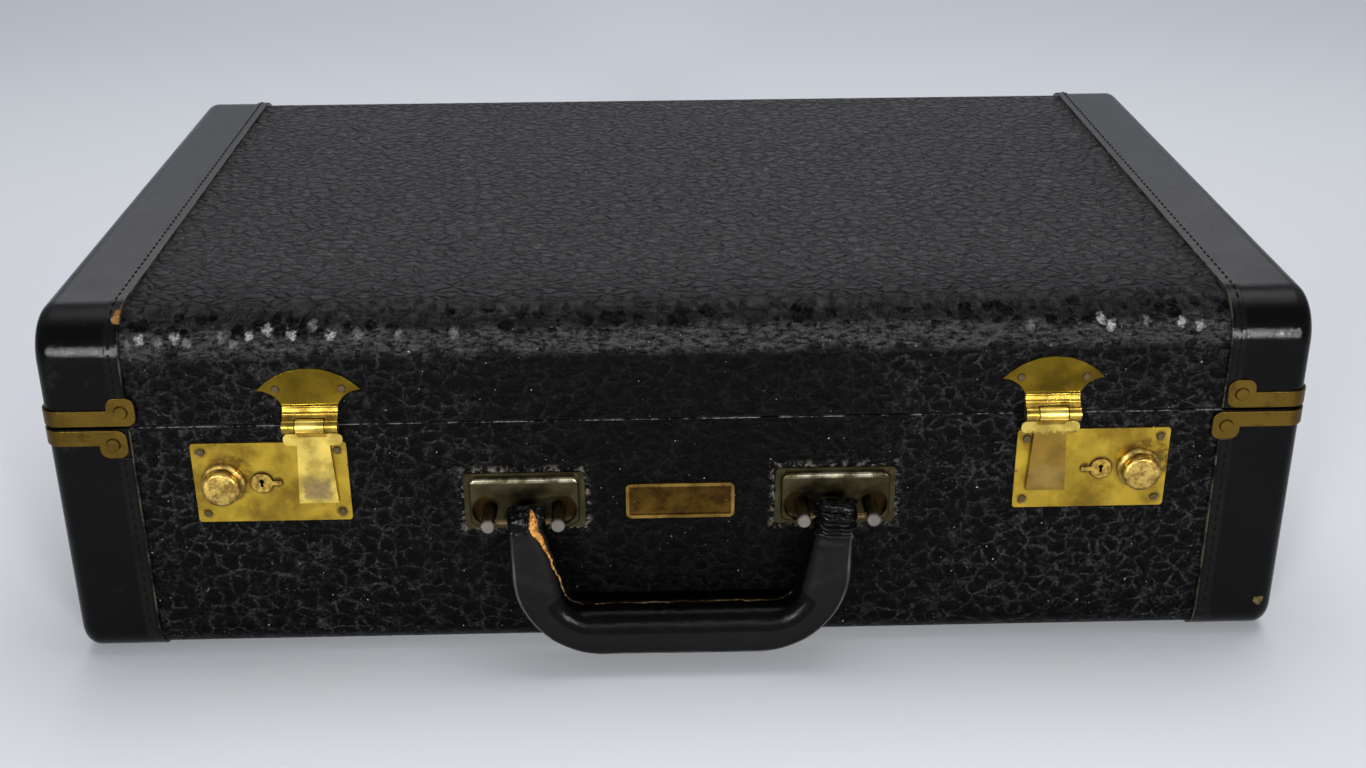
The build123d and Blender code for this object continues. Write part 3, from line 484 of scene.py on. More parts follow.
def stitch_row(name, body, node, x_places, start, crown, bend):
    """Stitches up the front and the back, and where there is a bend, over it and across as well."""
    work = bmesh.new()
    face, back = strip_low.y, strip_high.y
    rise = abs(crown - start) - bend
    across = back - face - 2 * bend if bend else 0.0
    arc = bend * math.pi / 2
    length = 2 * rise + 2 * arc + across
    sign = 1 if crown > start else -1
    for x in x_places:
        for number in range(int(length / stitch_pitch)):
            along = (number + 0.5) * stitch_pitch
            if along > length / 2:
                mirrored, along = True, length - along
            else:
                mirrored = False
            if along < rise:
                y, z, turn = face, start + sign * along, math.pi / 2
            elif along < rise + arc:
                angle = (along - rise) / bend
                y = face + bend * (1 - math.cos(angle))
                z = start + sign * (rise + bend * math.sin(angle))
                turn = math.pi / 2 - angle
            else:
                y, z, turn = face + bend + along - rise - arc, crown, 0.0
            if mirrored:
                y, turn = face + back - y, math.pi - turn
            stitch(work, x, y, z, sign * turn)
    row = bpy.data.objects.new(name, smooth_mesh(work, name))
    thread.dress(row)
    shown(row, body, slots[node])


stitch_x = strip_high.x - stitch_from_edge
both_sides = (-stitch_x, stitch_x)
stitch_row("lid_stitches", "lid", "lid_end_left", both_sides, strip_low.z, strip_high.z, strip_bend)
stitch_row("base_stitches", "base", "base_end_left", both_sides, base_top, base_bottom, 0.0)

# Brass bands round the corners, with their rivets, and the leaves of the hinges.
# Strip brass, bent cold round each corner and riveted through the leather, dulled to brown-gold. The
# leaves of the two hinges at the back are cut from the same strip.
dull_brass = Finish("dull_brass", metallic=1.0)
dull_spots = dull_brass.rise(dull_brass.noise(120, 6, 0.7), 0.5, 0.72)
dull_tone = dull_brass.blend(dull_brass.noise(30, 4), (0.066, 0.040, 0.006), (0.108, 0.068, 0.013))
dull_brass.set("Base Color", dull_brass.blend(dull_spots, dull_tone, (0.045, 0.026, 0.006)))
dull_brass.set("Roughness", dull_brass.mottled(70, 0.34, 0.55))
dull_brass.set("Normal", dull_brass.bump(dull_brass.noise(260, 5), 0.0004, 0.4))
dull_brass.dress("base_band_rivets", "lid_band_rivets")
eased(dull_brass, 0.0003, "base_corner_bands", "lid_corner_bands")
eased(dull_brass, 0.00025, "hinge_base_leaf_left", "hinge_base_leaf_right")
eased(dull_brass, 0.00025, "hinge_lid_leaf_left", "hinge_lid_leaf_right")

# Small plate between the handle mounts.
# Thin stamped brass, gone brown, with a raised rim that is painted brighter. It is bare.
plate_brass = Finish("plate_brass", metallic=1.0)
small_low, small_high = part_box("name_plate")
small_half_x = (small_high.x - small_low.x) / 2
small_half_z = (small_high.z - small_low.z) / 2
small_x = plate_brass.math("SUBTRACT", plate_brass.x, (small_low.x + small_high.x) / 2)
small_z = plate_brass.math("SUBTRACT", plate_brass.z, (small_low.z + small_high.z) / 2)
small_x = plate_brass.math("ABSOLUTE", small_x)
small_z = plate_brass.math("ABSOLUTE", small_z)
rim_from, rim_to = 0.0016, 0.0011
rim_x = plate_brass.rise(small_x, small_half_x - rim_from, small_half_x - rim_to)
rim_z = plate_brass.rise(small_z, small_half_z - rim_from, small_half_z - rim_to)
rim = plate_brass.either(rim_x, rim_z)
plate_cloud = plate_brass.rise(plate_brass.noise(160, 5, 0.65), 0.38, 0.66)
plate_tone = plate_brass.blend(plate_cloud, (0.070, 0.038, 0.007), (0.030, 0.016, 0.004))
rim_tone = plate_brass.blend(plate_cloud, (0.22, 0.135, 0.032), (0.10, 0.058, 0.013))
plate_brass.set("Base Color", plate_brass.blend(rim, plate_tone, rim_tone))
plate_brass.set("Roughness", plate_brass.mottled(90, 0.3, 0.48))
plate_brass.set("Normal", plate_brass.bump(plate_brass.noise(420, 4), 0.0003, 0.4))
eased(plate_brass, 0.0003, "name_plate")

# Lock plates.
# Pressed brass, once lacquered, and nailed to the front: yellow where it is clean, with brown clouds,
# dark specks, grime round the nails and the keyhole, and a painted shadow beside each knob.
brass = Finish("brass", metallic=1.0)


def front_middle(name):
    """Middle of a CAD node's box, as x and z."""
    low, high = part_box(name)
    return (low.x + high.x) / 2, (low.z + high.z) / 2


lock_z = front_middle("lock_plate_left")[1]
plate_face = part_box("lock_plate_left")[0].y
nail_in = 0.004
nail_spots = []
for plate in ("lock_plate_left", "lock_plate_right"):
    corner_low, corner_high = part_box(plate)
    for x in (corner_low.x + nail_in, corner_high.x - nail_in):
        for z in (corner_low.z + nail_in, corner_high.z - nail_in):
            nail_spots.append((x, z))
knob_names = ("knob_left", "knob_right")
knob_spots = [front_middle(name) for name in knob_names]
key_reach = 0.0044
key_spots = [
    (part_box("key_cylinder_left")[0].x + key_reach, lock_z),
    (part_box("key_cylinder_right")[1].x - key_reach, lock_z),
]
brass_spots = brass.rise(brass.noise(380, 3, 0.6), 0.67, 0.73)
brass_cloud = brass.rise(brass.noise(55, 5, 0.6), 0.38, 0.68)
brass_tone = brass.blend(brass_cloud, (0.44, 0.295, 0.034), (0.20, 0.124, 0.016))
grime_and_shadow_noise = brass.noise(260, 5, 0.65)
nail_grime = round_spots(brass, nail_spots, 0.0018, 0.0016)
nail_grime = brass.times(nail_grime, brass.rise(grime_and_shadow_noise, 0.3, 0.6))
pointer_out = 0.0066
pointer_spots = [(key_spots[0][0] + pointer_out, lock_z), (key_spots[1][0] - pointer_out, lock_z)]
key_grime = brass.either(
    round_spots(brass, key_spots, 0.0048, 0.0012),
    round_spots(brass, pointer_spots, 0.0018, 0.0012),
)
# Painted shadow of each knob, cast up and to one side on its plate.
shadow_aside, shadow_above = 0.0028, 0.0026
knob_shadow = brass.times(
    round_spots(brass, [(x + shadow_aside, z + shadow_above) for x, z in knob_spots], 0.0092, 0.0028),
    brass.rise(grime_and_shadow_noise, 0.38, 0.55),
)
grime_and_shadow = brass.either(nail_grime, key_grime, brass.times(knob_shadow, 0.85))
brass_tone = brass.blend(brass_spots, brass_tone, (0.13, 0.07, 0.018))
brass.set("Base Color", brass.blend(brass.times(grime_and_shadow, 0.9), brass_tone, (0.055, 0.03, 0.01)))
brass_rough = brass.mottled(80, 0.24, 0.42)
brass.set("Roughness", brass.math("ADD", brass_rough, brass.times(grime_and_shadow, 0.2)))
brass.set("Normal", brass.bump(brass.noise(200, 5), 0.0004, 0.35))
eased(brass, 0.0003, "lock_plate_left", "lock_plate_right")

# Knobs that slide in the lock plates.
# Turned from brass rod: a ring, a neck with a dark groove and a cap with a flat face, on a thin stem
# that goes through the plate. Thumbs have kept the caps bright in parts.
knob_brass = Finish("knob_brass", metallic=1.0)
knob_cloud = knob_brass.rise(knob_brass.noise(260, 5, 0.7), 0.42, 0.60)
knob_tone = knob_brass.blend(knob_cloud, (0.52, 0.36, 0.095), (0.24, 0.145, 0.035))
knob_brass.set("Roughness", knob_brass.mottled(160, 0.30, 0.46))
knob_groove = knob_brass.near(knob_brass.y, plate_face - 0.0028, 0.0005, 0.0006)
knob_brass.set("Base Color", knob_brass.blend(knob_groove, knob_tone, (0.09, 0.05, 0.012)))
knob_brass.set("Normal", knob_brass.bump(knob_brass.noise(240, 4), 0.0007, 0.5))
knob_ring = 0.0092
knob_cap = 0.0078
knob_neck = 0.0069
knob_stem = 0.0022
knob_out = 0.0072
knob_steps = 56
for name, (knob_x, knob_z) in zip(knob_names, knob_spots):
    stem_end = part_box(name)[1].y
    work = bmesh.new()
    outline = (
        (0.0, stem_end),
        (knob_stem, stem_end),
        (knob_stem, plate_face - 0.0001),
        (knob_ring, plate_face - 0.0001),
        (knob_ring, plate_face - 0.0012),
        (knob_ring - 0.0009, plate_face - 0.0019),
        (knob_neck, plate_face - 0.0024),
        (knob_neck, plate_face - 0.0032),
        (knob_cap, plate_face - 0.0038),
        (knob_cap, plate_face - knob_out + 0.0010),
        (knob_cap - 0.0012, plate_face - knob_out + 0.0002),
        (0.0, plate_face - knob_out),
    )
    corners = [work.verts.new((knob_x + reach, y, knob_z)) for reach, y in outline]
    for first, second in zip(corners, corners[1:]):
        work.edges.new((first, second))
    bmesh.ops.spin(
        work,
        geom=work.verts[:] + work.edges[:],
        cent=(knob_x, 0, knob_z),
        axis=(0, 1, 0),
        angle=2 * math.pi,
        steps=knob_steps,
        use_merge=True,
    )
    bmesh.ops.remove_doubles(work, verts=work.verts[:], dist=0.000001)
    bmesh.ops.recalc_face_normals(work, faces=work.faces[:])
    rings = [edge for edge in work.edges if edge.calc_face_angle(0.0) > math.radians(24)]
    bmesh.ops.bevel(
        work, geom=rings, offset=0.00025, segments=2, profile=0.5, affect="EDGES", material=-1
    )
    mesh = smooth_mesh(work, name + "_turned")
    mesh.set_sharp_from_angle(angle=math.radians(50))
    knob = bpy.data.objects.new(name + "_turned", mesh)
    knob_brass.dress(knob)
    shown(knob, nodes[name]["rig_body"], slots[name], name)

# Key cylinders.
# Brass plugs with a keyhole and a small pointer, which turn with the key. The keyhole is painted dark,
# as shade in it.
key_brass = Finish("key_brass", metallic=1.0)
key_cloud = key_brass.rise(key_brass.noise(500, 4), 0.35, 0.65)
key_tone = key_brass.blend(key_cloud, (0.46, 0.31, 0.06), (0.20, 0.12, 0.03))
key_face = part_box("key_cylinder_left")[0].y
# Painted shade inside the keyhole.
keyhole_shade = key_brass.rise(key_brass.y, key_face + 0.0003, key_face + 0.0006)
keyhole_shade = key_brass.times(keyhole_shade, key_brass.rise(key_brass.y, 0.0, -0.001))
key_brass.set("Base Color", key_brass.blend(keyhole_shade, key_tone, (0.010, 0.006, 0.003)))
key_brass.set("Roughness", key_brass.mottled(300, 0.3, 0.5, 4))
eased(key_brass, 0.0003, "key_cylinder_left", "key_cylinder_right")

# Hasp leaves on the lid.
# Pressed brass fans, gone olive, nailed to the lid and rolled into knuckles at the bottom. The necks
# below the fans are a brighter brass.
olive = Finish("olive_brass", metallic=1.0)
olive_cloud = olive.rise(olive.noise(60, 5, 0.6), 0.38, 0.72)
olive_tone = olive.blend(olive_cloud, (0.155, 0.100, 0.009), (0.080, 0.050, 0.006))
neck_height = 0.1190
below_neck = olive.rise(olive.z, neck_height - 0.0006, neck_height, 1.0, 0.0)
neck_cloud = olive.rise(olive.noise(150, 4), 0.4, 0.65)
neck_tone = olive.blend(neck_cloud, (0.46, 0.31, 0.055), (0.22, 0.14, 0.02))
olive.set("Base Color", olive.blend(below_neck, olive_tone, neck_tone))
olive.set("Roughness", olive.mottled(90, 0.20, 0.38))
olive.set("Normal", olive.bump(olive.noise(200, 5), 0.0003, 0.3))
eased(olive, 0.0006, "hasp_leaf_left", "hasp_leaf_right")

# Tongues of the hasps.
# Pressed brass, rolled round the same pins and rubbed bright by thumbs. The left one has a worn patch
# near its end, and the right one has gone brown below its cross bar.
clean_brass = Finish("rubbed_brass", metallic=1.0)
rubbed = clean_brass.rise(clean_brass.noise(110, 5, 0.6), 0.42, 0.62)
tongue_tone = clean_brass.blend(rubbed, (0.72, 0.53, 0.12), (0.48, 0.34, 0.07))
patch_noise = clean_brass.times(clean_brass.noise(260, 5, 0.7), 0.012)
patch_edge = clean_brass.math("ADD", clean_brass.z, patch_noise)
aside_noise = clean_brass.times(clean_brass.noise(420, 5, 0.7), 0.008)
aside_x = clean_brass.math("ADD", clean_brass.x, clean_brass.math("SUBTRACT", aside_noise, 0.004))
patch_left = clean_brass.near(aside_x, front_middle("hasp_tongue_left")[0], 0.0046, 0.0022)
patch_right = clean_brass.near(aside_x, front_middle("hasp_tongue_right")[0], 0.0062, 0.0022)
worn_off = clean_brass.times(
    clean_brass.either(patch_left, clean_brass.times(patch_right, 0.3)),
    clean_brass.rise(patch_edge, 0.0900, 0.0945, 1.0, 0.0),
    clean_brass.rise(clean_brass.z, 0.0752, 0.0772),
)
worn_tone = clean_brass.blend(clean_brass.noise(500, 5), (0.34, 0.25, 0.10), (0.18, 0.12, 0.045))
bar_noise = clean_brass.times(clean_brass.noise(190, 5, 0.7), 0.010)
bar_foot = clean_brass.math("ADD", clean_brass.z, bar_noise)
right_flap = clean_brass.times(
    clean_brass.rise(clean_brass.x, 0.0, 0.001), clean_brass.rise(bar_foot, 0.1075, 0.1060)
)
flap_tone = clean_brass.blend(clean_brass.noise(120, 4), (0.30, 0.185, 0.036), (0.19, 0.115, 0.022))
tongue_tone = clean_brass.blend(right_flap, tongue_tone, flap_tone)
clean_brass.set("Base Color", clean_brass.blend(worn_off, tongue_tone, worn_tone))
tongue_rough = clean_brass.mottled(100, 0.22, 0.42)
clean_brass.set("Roughness", clean_brass.math("ADD", tongue_rough, clean_brass.times(worn_off, 0.15)))
eased(clean_brass, 0.0004, "hasp_tongue_left", "hasp_tongue_right")

# Lock cases, catches, hinge and hasp pins and the strap in the handle.
# Bare steel, rolled and cut, a little rusty. All of it is hidden while the case is shut.
steel = Finish("steel", metallic=1.0)
rust = steel.rise(steel.noise(150, 6, 0.65), 0.5, 0.7)
steel.set("Base Color", steel.blend(rust, (0.27, 0.26, 0.25), (0.12, 0.075, 0.045)))
steel.set("Roughness", steel.mottled(90, 0.35, 0.6, 4))
steel.dress(
    "lock_case_left",
    "lock_case_right",
    "hasp_catch_left",
    "hasp_catch_right",
    "hasp_pin_left",
    "hasp_pin_right",
    "hinge_pin_left",
    "hinge_pin_right",
    "handle_core",
)

# Nails of the locks, the leaves and the small plate, and the pins that the handle hangs on.
# Iron, drawn and headed, and blackened with age.
dark_nail = Finish("dark_nail", metallic=0.8)
nail_tone = dark_nail.blend(dark_nail.noise(600), (0.035, 0.024, 0.012), (0.11, 0.075, 0.03))
dark_nail.set("Base Color", nail_tone)
dark_nail.set("Roughness", dark_nail.mottled(500, 0.35, 0.6, 4))
dark_nail.dress("lock_plate_nails", "hasp_leaf_nails", "name_plate_nails", "handle_pins")

# Handle mounts and posts, and the studs and hinge rivets at the back.
# Stamped sheet brass with a thin nickel plating that has worn and gone olive, and turned posts whose
# ends have stayed pale. A highlight is painted along the top edge of each mount, and shade round the
# foot of each post.
nickel = Finish("nickel", metallic=1.0)
nickel_worn = nickel.rise(nickel.noise(70, 6, 0.65), 0.4, 0.7)
nickel_tone = nickel.blend(nickel_worn, (0.047, 0.040, 0.020), (0.026, 0.021, 0.010))
mount_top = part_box("handle_mount_left")[1].z
# Painted highlight along the top edge of each mount's raised face.
top_edge_highlight = nickel.times(
    nickel.near(nickel.z, mount_top - 0.0022, 0.0006, 0.0008),
    nickel.rise(nickel.noise(110, 4), 0.36, 0.6),
    nickel.rise(nickel.y, -0.1605, -0.1615),
)
nickel_tone = nickel.blend(top_edge_highlight, nickel_tone, (0.34, 0.31, 0.22))
post_height = 0.070
post_feet = [(aside * side, post_height) for aside in (0.0484, 0.0820) for side in (-1, 1)]
post_foot = round_spots(nickel, post_feet, 0.0042, 0.0022)
# Painted shade in the niche round the foot of each post.
post_niche_shade = nickel.times(post_foot, nickel.rise(nickel.y, -0.1662, -0.1650))
nickel_tone = nickel.blend(post_niche_shade, nickel_tone, (0.020, 0.012, 0.004))
post_end = nickel.rise(nickel.y, -0.1760, -0.1766)
nickel_tone = nickel.blend(post_end, nickel_tone, (0.19, 0.17, 0.145))
nickel.set("Base Color", nickel_tone)
nickel.set("Roughness", nickel.mottled(120, 0.30, 0.5))
nickel.set("Normal", nickel.bump(nickel.noise(300, 5), 0.0003, 0.3))
nickel.dress("base_studs", "lid_studs")
eased(nickel, 0.0003, "handle_mount_left", "handle_mount_right", "handle_posts")
nickel.dress("hinge_base_rivets", "hinge_lid_rivets")

# Handle.
# Leather folded round a steel strap, glued and sewn shut on its inner side. It is dry and dark grey
# outside, shiny where fingers go round it, torn beside the left pin and cracked from there.
grip_low, grip_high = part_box("handle_grip")
grip_y = (grip_low.y + grip_high.y) / 2
pin_z = (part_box("handle_pins")[0].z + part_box("handle_pins")[1].z) / 2
outer_corner = 0.040
inner_corner = 0.009
grip_thick = 0.021
grip_half_deep = 0.0097
leg_low_wide = 0.0230
leg_top_wide = 0.0156
leg_end_half = 0.0070
leg_taper = 0.024
section_points = 28
outer_squareness = 4.2
inner_squareness = 2.5
side_x = grip_high.x


def handle_stations():
    """Outer and inner point in the front plane and half depth, from mid grip to the right leg's end."""
    grip_steps, corner_steps, leg_steps, end_steps = 7, 11, 9, 6
    outer_turn = Vector((side_x - outer_corner, grip_low.z + outer_corner))
    inner_side = side_x - leg_low_wide
    inner_turn = Vector((inner_side - inner_corner, grip_low.z + grip_thick + inner_corner))
    for step in range(grip_steps):
        part = step / grip_steps
        outer = Vector((outer_turn.x * part, grip_low.z))
        yield outer, Vector((inner_turn.x * part, grip_low.z + grip_thick)), grip_half_deep
    for step in range(corner_steps + 1):
        turn = math.pi / 2 * step / corner_steps
        arm = Vector((math.sin(turn), -math.cos(turn)))
        yield outer_turn + outer_corner * arm, inner_turn + inner_corner * arm, grip_half_deep
    for step in range(1, leg_steps + 1):
        part = step / leg_steps
        outer = Vector((side_x, outer_turn.y + (pin_z - outer_turn.y) * part))
        inner_z = inner_turn.y + (pin_z - inner_turn.y) * part
        inner = Vector((inner_side + (leg_low_wide - leg_top_wide) * part, inner_z))
        taper = min(1.0, max(0.0, (pin_z - outer.y) / leg_taper))
        yield outer, inner, leg_end_half + (grip_half_deep - leg_end_half) * taper
    for step in range(1, end_steps + 1):
        turn = math.pi / 2 * step / end_steps
        top = pin_z + leg_end_half * math.sin(turn)
        half = max(0.0008, leg_end_half * math.cos(turn))
        yield Vector((side_x, top)), Vector((side_x - leg_top_wide, top)), half


def section_place(outer, inner, half_deep):
    """Matrix that puts the unit section between an outer and an inner point."""
    across = (inner - outer) / 2
    middle = (inner + outer) / 2
    place = Matrix.Identity(4)
    place.col[0] = (across.x, 0, across.y, 0)
    place.col[1] = (0, half_deep, 0, 0)
    place.col[2] = (-across.y, 0, across.x, 0)
    place.col[3] = (middle.x, grip_y, middle.y, 1)
    return place


def next_ring(work, edges):
    """Extrude a row of edges, and give the new row's vertices and edges."""
    drawn = bmesh.ops.extrude_edge_only(work, edges=edges)["geom"]
    verts = [part for part in drawn if isinstance(part, bmesh.types.BMVert)]
    new_verts = set(verts)
    new_edges = [part for part in drawn if isinstance(part, bmesh.types.BMEdge)]
    return verts, [edge for edge in new_edges if new_verts.issuperset(edge.verts)]


half_path = list(handle_stations())
flip = Vector((-1, 1))
full_path = [(outer * flip, inner * flip, half) for outer, inner, half in reversed(half_path[1:])]
full_path += half_path
work = bmesh.new()
along = work.verts.layers.float.new("along")
to_inside = work.verts.layers.float.new("to_inside")
to_back = work.verts.layers.float.new("to_back")
ring = bmesh.ops.create_circle(work, segments=section_points, radius=1.0)["verts"]
for vert in ring:
    power = outer_squareness if vert.co.x < 0 else inner_squareness
    vert.co.x = math.copysign(abs(vert.co.x) ** (2 / power), vert.co.x)
    vert.co.y = math.copysign(abs(vert.co.y) ** (2 / power), vert.co.y)
    vert[to_inside], vert[to_back] = vert.co.x, vert.co.y
edges = work.edges[:]
placed = Matrix.Identity(4)
travelled = 0.0
before = None
for outer, inner, half_deep in full_path:
    middle = (outer + inner) / 2
    if before is not None:
        travelled += (middle - before).length
        ring, edges = next_ring(work, edges)
    before = middle
    target = section_place(outer, inner, half_deep)
    bmesh.ops.transform(work, matrix=target @ placed.inverted(), verts=ring)
    placed = target
    for vert in ring:
        vert[along] = travelled
handle_length = travelled
ends = [edge for edge in work.edges if edge.is_boundary]
bmesh.ops.edgeloop_fill(work, edges=ends)
bmesh.ops.recalc_face_normals(work, faces=work.faces[:])
rough_mesh = bpy.data.meshes.new("handle_rough")
work.to_mesh(rough_mesh)
work.free()
rough = bpy.data.objects.new("handle_rough", rough_mesh)
scene.collection.objects.link(rough)
finer = rough.modifiers.new("finer", "SUBSURF")
finer.levels = finer.render_levels = 2
evaluated = rough.evaluated_get(bpy.context.evaluated_depsgraph_get())
handle_mesh = bpy.data.meshes.new_from_object(evaluated)
bpy.data.objects.remove(rough)
bpy.data.meshes.remove(rough_mesh)


def between(points, at):
    """Straight steps between (place, value) points."""
    for (first, low), (second, high) in zip(points, points[1:]):
        if at <= second:
            return low + (high - low) * max(0.0, (at - first) / (second - first))
    return points[-1][1]


crack_turn = [
    (0.0, -72),
    (0.010, -60),
    (0.020, -38),
    (0.032, -22),
    (0.046, -8),
    (0.062, 8),
    (0.085, 15),
]
crack_half = [
    (0.0, 0.0004),
    (0.004, 0.0024),
    (0.010, 0.0021),
    (0.015, 0.0009),
    (0.022, 0.0005),
    (0.030, 0.0005),
    (0.050, 0.0004),
    (0.070, 0.0002),
    (0.10, 0.0009),
    (0.13, 0.0006),
    (0.17, 0.0002),
    (0.18, -0.002),
]
section_radius = 0.0095
left_wrap = 0.016
right_wrap = 0.019
ridge_in = -0.80
ridge_wide = 0.10
work = bmesh.new()
work.from_mesh(handle_mesh)
work.normal_update()
along = work.verts.layers.float["along"]
to_inside = work.verts.layers.float["to_inside"]
to_back = work.verts.layers.float["to_back"]
gap_layer = work.verts.layers.float.new("crack_gap")
end_layer = work.verts.layers.float.new("near_end")
moves = []
for vert in work.verts:
    place = vert.co
    at = vert[along]
    turn = math.degrees(math.atan2(vert[to_back], vert[to_inside]))
    wander = 9 * noise.noise(Vector((at * 190, 2.0, 0.0)))
    wander += 4 * noise.noise(Vector((at * 700, 5.0, 0.0)))
    off_crack = abs(turn + wander - between(crack_turn, at)) * math.radians(section_radius)
    gap = off_crack - between(crack_half, at)
    vert[gap_layer] = gap
    left_end = max(0.0, 1.0 - at / left_wrap)
    right_end = max(0.0, 1.0 - (handle_length - at) / right_wrap)
    vert[end_layer] = max(left_end, right_end)
    lump = 0.00022 * noise.noise(place * 55) + 0.00010 * noise.noise(place * 190)
    fold = noise.noise(Vector((place.x * 130, place.y * 60, place.z * 420)))
    crease = -0.0011 * (1 - abs(fold)) ** 6
    torn_fold = 0.0011 * noise.noise(place * 260) + 0.0006 * noise.noise(place * 620)
    winding = 1.2 + math.sin(place.z * 1500 + 3 * noise.noise(place * 150))
    wrap = 0.0007 * min(1.0, right_end * 3) * winding
    off_ridge = (vert[to_inside] - ridge_in) / ridge_wide
    ridge = 0.00035 * math.exp(-(off_ridge**2)) * (vert[to_back] < -0.2)
    slit = -0.0007 * max(0.0, 1.0 - abs(gap) / 0.0011)
    out = lump + ridge + slit + wrap + crease * right_end + torn_fold * left_end
    moves.append((vert, vert.normal.copy() * out))
for vert, move in moves:
    vert.co += move
work.to_mesh(handle_mesh)
work.free()
for polygon in handle_mesh.polygons:
    polygon.use_smooth = True
handle_mesh.name = "leather_handle"
handle = bpy.data.objects.new("leather_handle", handle_mesh)

grip = Finish("handle_leather", specular=0.08)


def carried(name):
    """Value that the handle's mesh carries at each of its points."""
    return grip.add("Attribute", attribute_name=name).outputs["Fac"]


inside = carried("to_inside")
backward = carried("to_back")
near_end = carried("near_end")
crack = carried("crack_gap")
run = carried("along")
on_grip = grip.near(run, handle_length / 2, 0.060, 0.014)
shine_from = grip.rise(on_grip, 0.0, 1.0, 0.78, 0.12)
shiny = grip.rise(grip.math("SUBTRACT", inside, shine_from), -0.06, 0.10)
shiny = grip.either(shiny, grip.rise(near_end, 0.25, 0.5))
grip_tone = grip.blend(grip.noise(50, 6), (0.0022, 0.0021, 0.0022), (0.0044, 0.0042, 0.0042))
ridge_line = grip.times(grip.near(inside, ridge_in, 0.02, 0.05), grip.rise(backward, -0.3, -0.5))
ridge_line = grip.times(ridge_line, grip.rise(grip.noise(70, 4), 0.3, 0.6, 0.3, 1.0))
grip_tone = grip.blend(ridge_line, grip_tone, (0.050, 0.047, 0.047))
grip_tone = grip.blend(shiny, grip_tone, (0.0010, 0.0010, 0.0011))
grip_scuff = grip.rise(grip.noise(210, 6, 0.75), 0.66, 0.74)
grip_tone = grip.blend(grip.times(grip_scuff, 0.5), grip_tone, (0.10, 0.09, 0.085))
fibres = grip.times(grip.math("SUBTRACT", grip.noise(420, 6, 0.8), 0.5), 0.0034)
ragged = grip.math("ADD", crack, fibres)
open_flesh = grip.rise(ragged, 0.0002, -0.0002)
crack_open = grip.rise(grip.noise(75, 4, 0.6), 0.42, 0.54, 0.15, 1.0)
crack_open = grip.either(crack_open, grip.rise(run, 0.052, 0.040))
open_flesh = grip.times(open_flesh, crack_open)
burnt = grip.rise(ragged, 0.0012, 0.0003)
grip_tone = grip.blend(grip.times(burnt, 0.7), grip_tone, (0.010, 0.005, 0.003))
flesh_cloud = grip.rise(grip.noise(480, 6, 0.8), 0.36, 0.62)
pale_flesh = grip.rise(run, 0.018, 0.040)
flesh_tone = grip.blend(pale_flesh, (0.52, 0.25, 0.06), (0.52, 0.37, 0.19))
flesh_tone = grip.blend(flesh_cloud, (0.10, 0.030, 0.006), flesh_tone)
grip_tone = grip.blend(open_flesh, grip_tone, flesh_tone)
grip.set("Base Color", grip_tone)
dry_rough = grip.mottled(60, 0.42, 0.58)
shiny_rough = grip.mottled(90, 0.12, 0.26)
grip_rough = grip.add("Mix", {0: shiny, 2: dry_rough, 3: shiny_rough}, data_type="FLOAT").outputs[0]
grip.set("Roughness", grip.math("ADD", grip_rough, grip.times(open_flesh, 0.5)))
grip_normal = grip.bump(grip.noise(160, 6, 0.65), 0.0007, 0.45)
grip.set("Normal", grip.bump(grip.cells(900), 0.0002, 0.4, grip_normal))
grip.dress(handle)
shown(handle, nodes["handle_grip"]["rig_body"], slots["handle_grip"], "handle_grip")

# Pocket in the lid.
# One width of the lining cloth, gathered along its open side on an elastic in a bound hem. It is sewn
# to the lid's lining along its other three sides.
pocket_low, pocket_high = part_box("lid_pocket")
pocket_middle = (pocket_low + pocket_high) / 2
pocket_wide = pocket_high.x - pocket_low.x
pocket_deep = pocket_high.y - pocket_low.y
cloth_wall = 0.0004
hem_deep = 0.011
fold_width = 0.0098
fold_height = 0.00185
sewn_down = 0.010
pocket_folds = round(pocket_wide / fold_width)
work = bmesh.new()
bmesh.ops.create_grid(work, x_segments=pocket_folds * 8, y_segments=44, size=0.5)
for vert in work.verts:
    across, down = vert.co.x, vert.co.y + 0.5
    sway = 0.16 * noise.noise(Vector((across * 9, down * 2.2, 3))) * down
    drift = 1.4 * noise.noise(Vector((across * 14, down * 1.5, 7)))
    wave = math.sin(2 * math.pi * pocket_folds * across + drift + 9 * sway)
    height = fold_height * (1 - 0.25 * down + 0.3 * noise.noise(Vector((across * 30, down * 3, 1))))
    x = pocket_middle.x + across * (pocket_wide - 2 * cloth_wall) + sway * 0.006
    y = pocket_low.y + hem_deep / 2 + down * (pocket_deep - hem_deep / 2 - cloth_wall)
    to_side = min(pocket_high.x - abs(x - pocket_middle.x), pocket_high.y - y)
    sewn = min(1.0, max(0.0, to_side / sewn_down))
    sag = (pocket_middle.z - 0.0004) * sewn + (pocket_high.z - 0.0010) * (1 - sewn)
    vert.co = (x, y, sag + wave * height * (0.25 + 0.75 * sewn))
for face in work.faces:
    face.normal_flip()
pocket_cloth = bpy.data.objects.new("pocket_cloth", smooth_mesh(work, "pocket_cloth"))
wall = pocket_cloth.modifiers.new("wall", "SOLIDIFY")
wall.thickness = cloth_wall
wall.offset = 0

